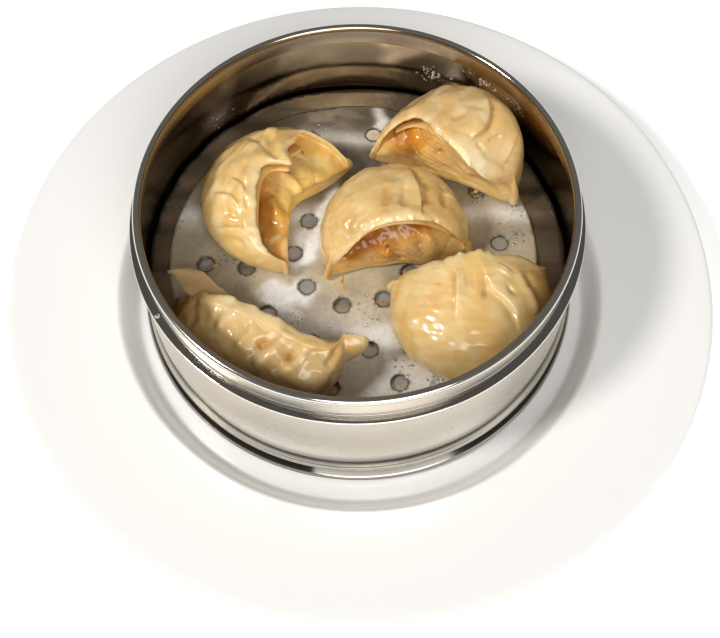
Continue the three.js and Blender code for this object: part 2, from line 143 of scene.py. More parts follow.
def crisp(outline, edge=0.18, stretch=6.0):
    """Adds points next to each corner and along long runs, so that smooth shading stays flat."""
    points = [np.array(p, float) for p in outline]
    result = []
    for here, after in zip(points, points[1:] + points[:1]):
        run = np.linalg.norm(after - here)
        result.append(here)
        if run > 3 * edge:
            steps = max(1, int(run / stretch))
            places = [edge / run, *(np.arange(1, steps) / steps), 1 - edge / run]
            result.extend(here + (after - here) * t for t in sorted(places))
    return result


# ---------------------------------------------------------------- materials

class Surface:
    """A material with one shader, and short calls for the nodes that feed it."""

    def __init__(self, name, constants):
        self.material = bpy.data.materials.new(name)
        self.material.use_nodes = True
        self.tree = self.material.node_tree
        self.shader = self.tree.nodes["Principled BSDF"]
        self.feed(self.shader, constants)
        self.place = self.tree.nodes.new("ShaderNodeTexCoord").outputs["Object"]

    def feed(self, node, inputs):
        """Sets a node's inputs, each by a socket to link or by a plain value."""
        for key, value in inputs.items():
            if isinstance(value, bpy.types.NodeSocket):
                self.tree.links.new(value, node.inputs[key])
            else:
                node.inputs[key].default_value = value

    def add(self, kind, inputs, **settings):
        node = self.tree.nodes.new("ShaderNode" + kind)
        for key, value in settings.items():
            setattr(node, key, value)
        self.feed(node, inputs)
        return node.outputs

    def set(self, key, value):
        self.feed(self.shader, {key: value})

    def noise(self, scale, detail=3, roughness=0.5, stretch=None):
        place = self.place
        if stretch:
            place = self.add("Mapping", {"Vector": place, "Scale": stretch})["Vector"]
        inputs = {"Vector": place, "Scale": scale, "Detail": detail, "Roughness": roughness}
        return self.add("TexNoise", inputs)["Fac"]

    def remap(self, value, low, high, to_low, to_high):
        inputs = {"Value": value, "From Min": low, "From Max": high, "To Min": to_low,
                  "To Max": to_high}
        return self.add("MapRange", inputs)["Result"]

    def mix(self, fac, first, second, mode="MIX"):
        """Mixes two colours, each a socket or a plain colour."""
        first, second = ((*c, 1) if isinstance(c, tuple) else c for c in (first, second))
        return self.add("Mix", {0: fac, 6: first, 7: second}, data_type="RGBA", blend_type=mode)[2]

    def darkened(self, colour, fac, by):
        """The colour, multiplied by another one to a share that the factor gives."""
        return self.mix(fac, colour, self.mix(1.0, colour, by, "MULTIPLY"))

    def painted(self, output="Color"):
        return self.add("Attribute", {}, attribute_name="tint")[output]

    def bump(self, height, strength, distance):
        inputs = {"Strength": strength, "Distance": distance * MM, "Height": height}
        self.set("Normal", self.add("Bump", inputs)["Normal"])


def glaze_material():
    s = Surface("glaze", {"Coat Weight": 0.4, "Coat Roughness": 0.06})
    s.set("Base Color", s.mix(s.noise(9, 2), (0.84, 0.84, 0.83), (0.865, 0.865, 0.86)))
    s.set("Roughness", s.remap(s.noise(60), 0.3, 0.7, 0.1, 0.2))
    s.bump(s.noise(35, 2), 0.05, 0.6)
    return s.material


def steel_material():
    s = Surface("steel", {"Metallic": 1.0})
    # Brushing runs round the wall, so it changes quickly with height and slowly along.
    brushed = s.noise(3, 4, 0.6, stretch=(14, 14, 900))
    cloudy = s.noise(28, 4, 0.55)
    tint = s.darkened(s.painted(), s.remap(brushed, 0.3, 0.7, 0.0, 0.35), (0.72, 0.7, 0.67))
    tint = s.darkened(tint, s.remap(cloudy, 0.42, 0.7, 0.0, 0.3), (0.86, 0.76, 0.64))
    s.set("Base Color", tint)
    # The painted alpha is extra roughness.
    rough = {0: s.remap(cloudy, 0.3, 0.7, 0.07, 0.16), 1: s.painted("Alpha")}
    s.set("Roughness", s.add("Math", rough, operation="ADD")[0])
    s.bump(brushed, 0.06, 0.1)
    return s.material


def floor_material():
    s = Surface("floor_steel", {"Metallic": 0.75})
    cloudy = s.noise(60, 5, 0.6)
    stained_and_shaded = s.remap(cloudy, 0.35, 0.7, 0.0, 0.7)
    s.set("Base Color", s.darkened(s.painted(), stained_and_shaded, (0.6, 0.56, 0.5)))
    s.set("Roughness", s.remap(cloudy, 0.3, 0.7, 0.2, 0.38))
    s.bump(s.noise(300, 2), 0.3, 0.3)
    return s.material


def paper_material():
    s = Surface("wet_paper", {"Coat Weight": 0.6, "Coat Roughness": 0.12})
    fibres = s.remap(s.noise(420, 3, 0.65), 0.35, 0.7, 0.0, 0.45)
    s.set("Base Color", s.darkened(s.painted(), fibres, (0.62, 0.6, 0.56)))
    s.set("Roughness", s.remap(s.noise(90), 0.35, 0.65, 0.22, 0.5))
    s.bump(s.noise(260, 4, 0.6), 0.35, 0.5)
    return s.material


def dough_material(name, subsurface, roughness, coat, specular):
    s = Surface(name, {
        "Subsurface Weight": subsurface, "Subsurface Radius": (1.0, 0.5, 0.15),
        "Subsurface Scale": 3.5 * MM, "Specular IOR Level": specular, "Coat Weight": coat,
        "Coat Roughness": 0.07,
    })
    mottled = s.remap(s.noise(110, 4, 0.6), 0.4, 0.7, 0.0, 0.3)
    s.set("Base Color", s.darkened(s.painted(), mottled, (0.95, 0.87, 0.72)))
    s.set("Roughness", s.remap(s.noise(75), 0.35, 0.65, roughness, roughness + 0.12))
    s.bump(s.noise(190), 0.17, 0.5)
    return s.material


def water_material():
    s = Surface("water", {"Base Color": (1, 1, 1, 1), "Transmission Weight": 0.9, "IOR": 1.33})
    s.set("Roughness", s.remap(s.noise(400), 0.3, 0.7, 0.0, 0.06))
    return s.material


def table_material():
    s = Surface("table", {
        "Roughness": 0.9, "Emission Color": (1, 1, 1, 1), "Emission Strength": 0.25,
    })
    s.set("Base Color", s.mix(s.noise(2, 1), (0.93, 0.93, 0.93), (0.96, 0.96, 0.96)))
    return s.material


STEEL = steel_material()
DOUGH = dough_material("dough", 0.6, 0.26, 0.7, 0.4)
FILLING = dough_material("filling", 0.15, 0.26, 0.55, 0.15)


# ---------------------------------------------------------------- plate

def build_plate():
    p = PLATE
    edge = (p["well_edge"], p["well_edge_height"])
    well = (p["well_radius"], p["well_height"])
    side = [(well[0] + (edge[0] - well[0]) * t,
             well[1] + (edge[1] - well[1]) * t * t * (3 - 2 * t)) for t in np.linspace(0, 1, 13)]
    lip_at = p["radius"] - p["lip_radius"]
    rim = [(edge[0] + (lip_at - edge[0]) * t,
            edge[1] + (p["lip_height"] - edge[1]) * t * (1.35 - 0.35 * t))
           for t in np.linspace(0, 1, 12)[1:-1]]
    lip = arc((lip_at, p["lip_height"] - p["lip_radius"]), p["lip_radius"], 90, -90, 12)
    under = p["well_height"] - p["thickness"]
    foot_out = p["foot_radius"] + p["foot_width"]
    foot = crisp([(foot_out, under), (foot_out, 0), (p["foot_radius"], 0),
                  (p["foot_radius"], under)])[:-2]
    outline = [
        *((r, well[1]) for r in (0.02, 30, 60, 85)), *side, *rim, *lip,
        (edge[0] + p["thickness"], edge[1] - p["thickness"]), *foot, (60, under), (0.02, under),
    ]
    turned("plate_body", outline, 256, glaze_material(), "glaze", "plate")


# ---------------------------------------------------------------- basket

# Colours of the steel outside and inside, and their brightness by height. Outside this brightness
# is painted shade in the gap, the groove and on the ledge, and painted highlights on the foot's
# roll, the bead, the ledge's edge and the neck; from below: foot, gap, bead, groove, skirt, ledge,
# neck and rolled rim.
PALE_STEEL = np.array((0.86, 0.825, 0.755))
# The brown of the steel inside is a painted reflection of the food.
REFLECTED_BROWN_STEEL = np.array((0.8, 0.62, 0.42))
OUTSIDE_SHADE_AND_SHEEN = (
    (6.7, 0.15), (8.9, 0.15), (9.3, 0.9), (9.7, 0.7), (10.0, 0.08), (12.5, 0.08), (13.2, 0.3),
    (15.4, 0.8), (16.2, 1.15), (17.2, 0.9), (17.6, 0.14), (20.2, 0.14), (20.7, 1.04), (30, 1.04),
    (60.2, 1.02), (60.6, 0.7), (61.2, 1.1), (62.1, 1.1), (62.22, 0.4), (62.6, 0.4), (63.2, 0.8),
    (64.5, 1.1), (70.2, 1.1), (70.6, 0.35), (71.6, 0.7), (72.3, 1.0), (73.6, 0.6),
)
# Inside, painted shade and painted reflection by height: bright under the rim, nearly black near
# the floor.
INSIDE_PAINTED_SHADE = ((30, 0.2), (42, 0.28), (50, 0.7), (62, 0.85), (70, 1.0), (72, 0.9), (73, 0.4))
# Extra roughness of the steel outside, by height.
DULL = (
    (6.7, 0.0), (20, 0.0), (22, 0.14), (60.2, 0.2), (62, 0.0), (62.6, 0.02), (63.2, 0.3),
    (70, 0.3), (71, 0.0),
)
# Radius of the middle of the wall's sheet, by height.
WALL_MIDDLE = ((12, 89.2), (61.2, 88.95), (62.4, 86.7), (62.9, 85.85), (71, 85.3), (73.6, 84))
# Painted highlights on the steel inside, which are duller too: bearing, height, spreads and amount.
STEEL_PAINTED_HIGHLIGHTS = [
    (134, 40, (5, 7), 0.8), (46, 52, (7, 7), 0.5), (67, 46, (6, 5), 0.15), (129, 55, (3, 8), 0.5),
]
LIGHTS_ROUGHNESS = 0.3


def at_height(z, table):
    return np.interp(z, *zip(*table))


def paint_wall(wall):
    """Paints the steel pale outside, with painted shade in its seams and painted highlights on its
    rolls, and inside brown to nearly black, as painted reflection and painted shade.
    """
    place = np.empty(len(wall.data.vertices) * 3)
    wall.data.vertices.foreach_get("co", place)
    x, y, z = (place.reshape(-1, 3) / MM - (*BASKET["centre"], 0)).T
    bearing = np.degrees(np.arctan2(y, x)) % 360
    outside = np.hypot(x, y) > at_height(z, WALL_MIDDLE)
    painted_highlight = sum(amount * np.exp(-(((bearing - at) / across) ** 2 + ((z - up) / high) ** 2) ** 2)
               for at, up, (across, high), amount in STEEL_PAINTED_HIGHLIGHTS)
    # Painted shade darkens the two sides against the back, and painted reddish light lies under the
    # rim at the right.
    side = np.clip(np.abs((bearing - 100 + 180) % 360 - 180) / 85 - 0.35, 0, 1)
    painted_warm_light = np.exp(-(((bearing - 24) / 9) ** 2 + ((z - 57) / 6) ** 2))
    brown = REFLECTED_BROWN_STEEL * (at_height(z, INSIDE_PAINTED_SHADE) * (1 - 0.45 * side))[:, None]
    brown = brown + np.array((0.3, 0.17, 0.07)) * painted_warm_light[:, None] + painted_highlight[:, None]
    pale = PALE_STEEL * at_height(z, OUTSIDE_SHADE_AND_SHEEN)[:, None]
    rough = np.where(outside, at_height(z, DULL), LIGHTS_ROUGHNESS * painted_highlight)
    paint(wall, np.clip(np.where(outside[:, None], pale, brown), 0.02, 0.98), rough)


def build_wall():
    b = BASKET

    def inside(radius):
        return radius - b["sheet"]

    roll_foot = b["top"] - 2.2 * b["rim_roll"]
    straight = [
        (b["gap_radius"], b["gap_height"]),
        *arc((b["bead_radius"] - b["bead_roll"], b["bead_height"]), b["bead_roll"], -50, 50, 9),
        (b["skirt_radius"] - b["sheet"] / 2, b["groove_height"]),
        (b["skirt_radius"], b["skirt_bottom"]),
        (b["skirt_radius"], b["skirt_top"]),
        (b["ledge_radius"] - 0.1, b["ledge_bottom"]),
        (b["ledge_radius"], (b["ledge_bottom"] + b["ledge_top"]) / 2),
        (b["ledge_radius"] - 0.25, b["ledge_top"]),
        (b["neck_radius"] + 0.5, b["neck_bottom"] - 0.2),
        (b["neck_radius"], b["neck_bottom"] + 0.5),
        (b["neck_radius"], roll_foot),
    ]
    rim_at = (b["rim_radius"] - b["rim_roll"], b["top"] - b["rim_roll"])
    roll = arc(rim_at, b["rim_roll"], -60, 215, 22)
    inner = [
        (inside(b["neck_radius"]), roll_foot),
        (inside(b["neck_radius"]), b["neck_bottom"]),
        (inside(b["skirt_radius"]), b["ledge_top"] - b["sheet"]),
        (inside(b["skirt_radius"]), b["skirt_bottom"]),
        (inside(b["gap_radius"]), b["gap_height"]),
    ]
    foot_at = (b["foot_radius"] - b["foot_roll"], b["bottom"] + b["foot_roll"])
    foot = arc(foot_at, b["foot_roll"], -150, 60, 14)
    outline = crisp([*straight, *roll, *inner, *foot])

    def wobble(r, z, turn):
        swell = (0.12 * np.sin(3 * turn + 0.4) + 0.07 * np.sin(7 * turn + 2.0)
                 + 0.05 * np.sin(11 * turn))
        height = np.clip((b["top"] - 4 - z) / 20, 0, 1) * np.clip((z - 12) / 8, 0, 1)
        return r + swell * height, z

    paint_wall(turned("steamer_wall", outline, 288, STEEL, "steel", "basket_wall", b["centre"],
                      wobble))


# ---------------------------------------------------------------- sheets with holes

def hole_centres(rings):
    """Middles of holes on rings of (radius, number of holes, bearing of the first)."""
    return [(r * math.cos(math.radians(start + 360 * i / count)),
             r * math.sin(math.radians(start + 360 * i / count)))
            for r, count, start in rings for i in range(count)]


def drilled(name, sheet, thickness, holes, step, height, material, slot, node):
    """A thin disc with round holes, whose upper face stands at height(x, y).

    Returns the object and the places of its vertices from the disc's own middle.
    """
    radius, hole_radius = sheet["radius"], sheet["hole_radius"]
    rings = [(0.0, 0.0, radius, 260)] + [(x, y, hole_radius, 26) for x, y in holes]
    points, edges = [], []
    for x, y, r, count in rings:
        start = len(points)
        turn = np.linspace(0, 2 * np.pi, count, endpoint=False)
        points += list(zip(x + r * np.cos(turn), y + r * np.sin(turn)))
        edges += [(start + i, start + (i + 1) % count) for i in range(count)]
    line = np.arange(-radius, radius, step)
    gx, gy = [a.ravel() for a in np.meshgrid(line, line)]
    keep = np.hypot(gx, gy) < radius - 0.6 * step
    for x, y in holes:
        keep &= np.hypot(gx - x, gy - y) > hole_radius + 0.6 * step
    points += list(zip(gx[keep], gy[keep]))
    flat, _, faces, *_ = delaunay_2d_cdt([Vector(p) for p in points], edges, [], 0, 1e-5)
    flat = np.array([tuple(p) for p in flat])
    faces = np.array([f for f in faces if len(f) == 3])
    middle = flat[faces].mean(1)
    inside = np.hypot(middle[:, 0], middle[:, 1]) < radius
    for x, y in holes:
        inside &= np.hypot(middle[:, 0] - x, middle[:, 1] - y) > hole_radius * 0.97
    faces = faces[inside]
    cross = np.cross(flat[faces[:, 1]] - flat[faces[:, 0]], flat[faces[:, 2]] - flat[faces[:, 0]])
    faces[cross < 0] = faces[cross < 0][:, ::-1]
    used = np.unique(faces)
    order = -np.ones(len(flat), int)
    order[used] = np.arange(len(used))
    flat, faces = flat[used], order[faces]
    top = np.c_[flat + sheet["centre"], height(flat[:, 0], flat[:, 1])]
    below = top - (0, 0, thickness)
    count = len(flat)
    sides = {}
    for a, b, c in faces.tolist():
        for e in ((a, b), (b, c), (c, a)):
            if (e[1], e[0]) in sides:
                del sides[(e[1], e[0])]
            else:
                sides[e] = True
    walls = [(a, a + count, b + count, b) for a, b in sides]
    every = faces.tolist() + (faces[:, ::-1] + count).tolist() + walls
    sheet_object = make_object(name, np.r_[top, below], every, material, slot, node)
    return sheet_object, np.r_[flat, flat]


FLOOR_HOLES = hole_centres([(17, 6, -30), (39, 10, -154), (61, 14, -163)])
PAPER_HOLES = hole_centres([(25, 9, -101), (45, 12, -172), (62, 14, -176)])
# Beyond the paper the floor is painted dark, as painted shade and painted reflection of the wall.
OPEN_FLOOR_PAINTED_SHADE = np.array((0.3, 0.25, 0.18))
COVERED_FLOOR = np.array((0.8, 0.77, 0.7))


def ridge(y):
    """Height of the pressed floor below its crest: rounded ribs along X."""
    wave = 0.5 + 0.5 * np.cos(2 * np.pi * (y - FLOOR["ridge_at"]) / FLOOR["ridge_pitch"])
    return FLOOR["ridge_height"] * (np.clip(1.6 * wave, 0, 1) - 1)


def build_floor():
    f = FLOOR
    floor, flat = drilled("pressed_floor", f, f["sheet"], FLOOR_HOLES, 1.7,
                          lambda x, y: f["top"] + ridge(y), floor_material(), "floor steel",
                          "basket_floor")
    x, y = (flat + f["centre"] - PAPER["centre"]).T
    under = np.clip((PAPER["radius"] - 1 - np.hypot(x, y)) / 2, 0, 1)[:, None]
    paint(floor, OPEN_FLOOR_PAINTED_SHADE * (1 - under) + COVERED_FLOOR * under)


def bell(x, place, spread):
    return np.exp(-((x - place) / spread) ** 2)


def blot(x, y, at, size, turn=0.0):
    """A soft round or oval patch, 1 in its middle."""
    c, s = math.cos(math.radians(turn)), math.sin(math.radians(turn))
    dx, dy = x - at[0], y - at[1]
    return np.exp(-(((dx * c + dy * s) / size[0]) ** 2 + ((dy * c - dx * s) / size[1]) ** 2) ** 2)


# White patches where the wet paper stands off the metal: middle, half sizes, turn.
WHITE_PATCHES = [
    ((-14, 26), (3.6, 13), -27), ((-21, 9), (5, 13), -24), ((-32, -17), (9, 6.5), -12),
    ((-24, -14), (6, 5), 30), ((-28, -25), (6, 3), -30), ((-37, -12), (4, 3), 20),
    ((13, -42), (4, 9), 4), ((11, 64), (4.5, 12), 10), ((-12, -60), (9, 3), -10),
]
# Painted sheen: light bands across the paper, over the floor's ribs: their y and half width.
SHEEN_BANDS = [(62.6, 4.6), (22.7, 4.4), (-33.6, 4.2), (-56, 6)]
PAPER_COLOURS = {
    "grey": np.array((0.62, 0.53, 0.37)), "front": np.array((0.22, 0.24, 0.27)),
    "wet": np.array((0.016, 0.013, 0.009)), "light": np.array((0.97, 0.95, 0.9)),
    "white": np.array((0.93, 0.92, 0.89)), "hole_shadow": np.array((0.07, 0.05, 0.03)),
}


def waves(x, y, size, seed, count=14):
    """Smooth random relief, about -1 to 1, from crossed sine waves of about the given length."""
    random = np.random.default_rng(seed)
    total = np.zeros(np.broadcast(x, y).shape)
    for _ in range(count):
        turn, phase = random.uniform(0, 2 * np.pi, 2)
        k = 2 * np.pi / (size * random.uniform(0.6, 1.7))
        total = total + np.sin(k * (x * math.cos(turn) + y * math.sin(turn)) + phase)
    return total / math.sqrt(count / 2) / 1.6


def build_paper():
    p, colours = PAPER, PAPER_COLOURS

    def height(x, y):
        loose = np.clip((np.hypot(x, y) - 66) / 11, 0, 1) ** 2
        return (p["top"] - 0.12 + 0.1 * waves(x, y, 11, 3)
                + 0.5 * loose * (0.6 + 0.6 * waves(x, y, 26, 4)))

    paper, flat = drilled("paper_sheet", p, p["thickness"], PAPER_HOLES, 1.15, height,
                          paper_material(), "wet paper", "paper_liner")
    x, y = (flat + p["centre"]).T
    band = sum(bell(y + 1.2 * waves(x, 0 * y, 40, 8), at, size) for at, size in SHEEN_BANDS)
    band = np.clip(band, 0, 1)[:, None]
    ragged = 1 + 0.22 * waves(x, y, 9, 6)
    patch = np.max([blot(x, y, at, (size[0] * ragged, size[1] * ragged), turn)
                    for at, size, turn in WHITE_PATCHES], 0)
    wet = np.clip(0.5 + 0.7 * waves(x, y, 22, 9), 0, 1)[:, None]
    grey = colours["grey"] + colours["front"] * np.clip((-y - 15) / 20, 0, 1)[:, None]
    tint = grey * (1 - 0.25 * wet) + colours["wet"] * wet
    # Painted sheen along the bands.
    tint = tint + (colours["light"] - tint) * band * 0.85
    # Painted shade, darker towards the back wall and weaker on the bands.
    shade = 0.82 * np.clip((y - 5) / 50, 0, 1)[:, None] * (1 - 0.4 * band)
    tint = tint * (1 - shade)
    tint = tint + (colours["white"] - tint) * np.clip(patch * 1.5, 0, 1)[:, None]
    # A painted shadow rings each hole's edge.
    for hole in PAPER_HOLES:
        near = np.hypot(*(flat - hole).T) < p["hole_radius"] + 0.1
        tint[near] = colours["hole_shadow"]
    paint(paper, tint)


build_plate()
build_wall()
build_floor()
build_paper()

# ---------------------------------------------------------------- jiaozi

TIP_WIDTH = 1.5
FLANGE = {"length": 9, "thickness": 2.6, "undercut": 5}
THIRDS = (-0.6, 0, 0.6)
# Near the tips the section closes to a bead, below a share of the full section. Its key points
# are in parts of its half widths and height.
BEAD = (
    (-0.72, 0), (-1, 0.36), (-0.7, 0.8), (0, 1), (0.42, 0.96), (0.74, 0.85), (0.93, 0.7),
    (1.02, 0.55), (1.05, 0.42), (1.02, 0.26), (0.8, 0),
)
BEAD_END = 0.4

# As in the part's source; places along the crescent run from -1 to 1.
JIAOZI = {
    "left": {
        "at": (-27.9, 24.8), "turn": 63.2, "length": 61.1, "bend": 13, "skew": -0.6,
        "back": 39, "face": 1.3, "height": 22.8, "crown": -21.5, "reach": -10.6,
        "reach_skew": -3.2, "lean": 1.4, "tips": (4.2, 4.3), "lift": (1.5, 2.7),
        "beak": (0.06, 0.07),
        "swell": {"back": (-0.4, 0.6, 0.4), "height": (0.4, 1.1, -2.2),
                  "reach": (-3.7, -4.9, -2.7), "face": (-1, -3.6, 1.8)},
        "kinks": [("reach", 0.22, 0.09, 8.7), ("reach", 0.64, 0.1, -5.7),
                  ("crown", 0.57, 0.24, -5.7), ("flange", 0.66, 0.26, -6.2)],
    },
    "centre": {
        "at": (14, 9), "turn": 11.2, "length": 63.5, "bend": 12.9, "skew": 1.9,
        "back": 26.3, "face": 12.4, "height": 29.1, "crown": -6.5, "reach": 10.1,
        "reach_skew": 0.2, "lean": -3, "tips": (4.2, 4.2), "lift": (0, 0.7), "beak": (0.1, 0.08),
        "swell": {"back": (-2, 0.7, 0), "height": (1.1, 0.2, 0.1),
                  "reach": (-0.4, 0.6, -2.1), "face": (-1.6, -0.8, 1.6)},
        "kinks": [],
    },
    "upper_right": {
        "at": (39.8, 46.6), "turn": -21.4, "length": 67.6, "bend": 9.5, "skew": -0.6,
        "back": 24.9, "face": 6.2, "height": 38.5, "crown": -7.1, "reach": 15.3,
        "reach_skew": 7.8, "lean": -1, "tips": (4.1, 4.5), "lift": (2.9, 0.7), "beak": (0.08, 0.1),
        "swell": {"back": (-4.3, 1, 0), "height": (-2.7, 0.7, 6),
                  "reach": (-7.8, 0, 2), "face": (0, 1, 0.8)},
        "kinks": [("reach", -0.4, 0.25, -2.5)],
    },
    "lower_right": {
        "at": (44.4, -27.2), "turn": 184.8, "length": 65, "bend": 11.4, "skew": 1,
        "back": 31.4, "face": 10.2, "height": 30.7, "crown": -5.8, "reach": 11.8,
        "reach_skew": 0.4, "lean": -1.2, "tips": (4.4, 4.2), "lift": (10.4, 9.5),
        "beak": (0.08, 0.08),
        "swell": {"back": (-3.3, 2.6, 0), "height": (-0.3, -0.3, -0.3),
                  "reach": (0.5, 1.5, -1.2), "face": (0, 0, 0)},
        "kinks": [],
    },
    "lower_left": {
        "at": (-38, -38.7), "turn": 161.5, "length": 83, "bend": 5.8, "skew": 3.4,
        "back": 26.6, "face": 2.6, "height": 26.8, "crown": -7.1, "reach": -1.6,
        "reach_skew": 3.4, "lean": 1.8, "tips": (4.2, 4.2), "lift": (17.2, 0), "beak": (0.21, 0.03),
        "swell": {"back": (7.2, 0, 1.7), "height": (0.1, 0, 0.2), "reach": (-2.5, 1, 0.5),
                  "face": (-1.1, 0, 0)},
        "kinks": [],
    },
}


def measures(d, u):
    """The measures of a dumpling at the places u, from -1 at its first tip to 1 at its second."""
    a, side = np.abs(u), (u >= 0).astype(int)
    beak, tip = np.array(d["beak"])[side], np.array(d["tips"])[side]
    full = np.maximum(1 - np.minimum(a / (1 - beak), 1) ** 2.3, 0) ** 0.7
    rise = np.maximum(1 - a ** 2.4, 0) ** 0.85

    def grow(measure):
        swell = d["swell"].get(measure, (0, 0, 0))
        total = sum(amount * bell(u, place, 0.33) for place, amount in zip(THIRDS, swell))
        return total + sum(k[3] * bell(u, k[1], k[2]) for k in d["kinks"] if k[0] == measure)

    return {
        "back": TIP_WIDTH + (d["back"] - TIP_WIDTH) * full + grow("back"),
        "face": TIP_WIDTH + (d["face"] - TIP_WIDTH) * full + grow("face"),
        "height": tip + (d["height"] - tip) * rise + grow("height"),
        "seam": tip * 0.55 + (d["height"] - tip * 0.55) * rise,
        "reach": d["reach"] * full ** 0.8 + d["reach_skew"] * u * (1 - a) + grow("reach"),
        "flange": 1.5 + (FLANGE["length"] - 1.5) * full ** 0.5 + grow("flange"),
        "crown": d["crown"] * full + grow("crown"),
        "full": full,
        "tip": tip,
    }


def section_points(d, u):
    """Key points (forward, up) of the sections at u: base, back, crown, flange, root, face."""
    m, t = measures(d, u), FLANGE["thickness"]
    crown = np.minimum(m["crown"], m["reach"] - 0.7 * m["flange"])
    root = m["reach"] - m["flange"]
    root_up = np.maximum(m["seam"] - FLANGE["undercut"] * m["full"] - 0.9 * t, 0.42 * m["tip"])
    points = [
        (-0.72 * m["back"], 0 * u),
        (-m["back"], 0.36 * m["height"]),
        (-0.7 * m["back"] + 0.2 * crown, 0.8 * m["height"]),
        (crown, m["height"]),
        (m["reach"] - 0.45 * m["flange"], m["seam"] + 0.62 * t + 0.25 * (m["height"] - m["seam"])),
        (m["reach"], m["seam"] + 0.35 * t),
        (m["reach"] - 0.1, m["seam"] - 0.55 * t),
        (root, root_up),
        (np.maximum(root + 0.5, 0.8 * m["face"]), np.minimum(0.6 * m["height"], 0.75 * root_up)),
        (1.02 * m["face"], 0.26 * m["height"]),
        (0.8 * m["face"], 0 * u),
    ]
    keys = np.array([np.stack(p, -1) for p in points]).transpose(1, 0, 2)
    front = np.maximum(m["face"], 0.8 * TIP_WIDTH)
    bead = np.array([np.stack((n * (m["back"] if n < 0 else front), z * m["height"]), -1)
                     for n, z in BEAD])
    opened = np.clip(m["full"] / BEAD_END, 0, 1)
    opened = (opened * opened * (3 - 2 * opened))[:, None, None]
    keys = bead.transpose(1, 0, 2) * (1 - opened) + keys * opened
    keys[..., 0] += (d["lean"] * m["full"] / d["height"])[:, None] * keys[..., 1]
    a = (np.abs(u) - 0.95) / 0.05
    scale = np.where(a <= 0, 1, np.sqrt(np.maximum(1 - a * a, 0.04)))
    middle = keys.mean(1, keepdims=True)
    return middle + (keys - middle) * scale[:, None, None]


def spline(keys, t):
    """Points at the places t on the closed smooth curves through the key points."""
    count = keys.shape[1]
    whole, f = np.floor(t).astype(int), (t - np.floor(t))[None, :, None]
    a, b, c, e = (keys[:, (whole + k) % count] for k in (-1, 0, 1, 2))
    curve = (2 * a - 5 * b + 4 * c - e) * f ** 2 + (3 * b - a - 3 * c + e) * f ** 3
    return 0.5 * (2 * b + (c - a) * f + curve)


def stand(d, u, sections):
    """Sets sections of (forward, up) points on the dumpling's bent line in plan."""
    half, turn = d["length"] / 2, math.radians(d["turn"])
    heading = np.array((math.cos(turn), math.sin(turn)))
    forward = np.array((math.sin(turn), -math.cos(turn)))
    middle = (np.array(d["at"]) + np.outer(half * u, heading)
              + np.outer(d["bend"] * u * u + d["skew"] * u * (1 - u * u), forward))
    slope = (2 * d["bend"] * u + d["skew"] * (1 - 3 * u * u)) / half
    path = heading + slope[:, None] * forward
    path /= np.linalg.norm(path, axis=1)[:, None]
    face = np.stack([path[:, 1], -path[:, 0]], -1)
    lift = np.array(d["lift"])[(u >= 0).astype(int)] * np.abs(u) ** 3
    plan = middle[:, None] + face[:, None] * sections[..., :1]
    up = FOOD_BOTTOM + np.maximum(sections[..., 1], 0) + lift[:, None]
    return np.concatenate([plan, up[..., None]], -1)


def outward(points):
    """Unit normals of a grid of points that wraps along its second axis."""
    along = np.gradient(points, axis=0)
    around = np.roll(points, -1, 1) - np.roll(points, 1, 1)
    normal = np.cross(along, around)
    normal /= np.linalg.norm(normal, axis=-1, keepdims=True) + 1e-12
    facing = (normal * (points - points.mean((0, 1)))).sum(-1).mean()
    return normal if facing > 0 else -normal


# How much of the mesh each stretch between two key points gets.
SHARE = (0.3, 1.3, 1.5, 1.4, 0.9, 0.5, 0.9, 1.0, 0.8, 0.5, 0.25)


def around_places(columns):
    along = np.arange(columns) / columns * sum(SHARE)
    return np.interp(along, np.cumsum((0, *SHARE)), np.arange(12))


def spots(d, places):
    """Points in space at the (u, t) places of a dumpling's smooth form."""
    u, t = np.array(places, float).T
    grid = stand(d, u, spline(section_points(d, u), t))
    return grid[np.arange(len(u)), np.arange(len(u))]


def smooth_path(places, count=22):
    """A row of (u, t) places, eased through the given ones."""
    places = np.array(places, float)
    line = np.linspace(0, 1, len(places))
    fine = np.linspace(0, 1, count)
    path = np.stack([np.interp(fine, line, places[:, k]) for k in (0, 1)], -1)
    for _ in range(3):
        path[1:-1] = (path[:-2] + 2 * path[1:-1] + path[2:]) / 4
    return path


# Marks are wider than their paths' own widths say, which keeps them soft.
MARK_SPREAD = 1.5


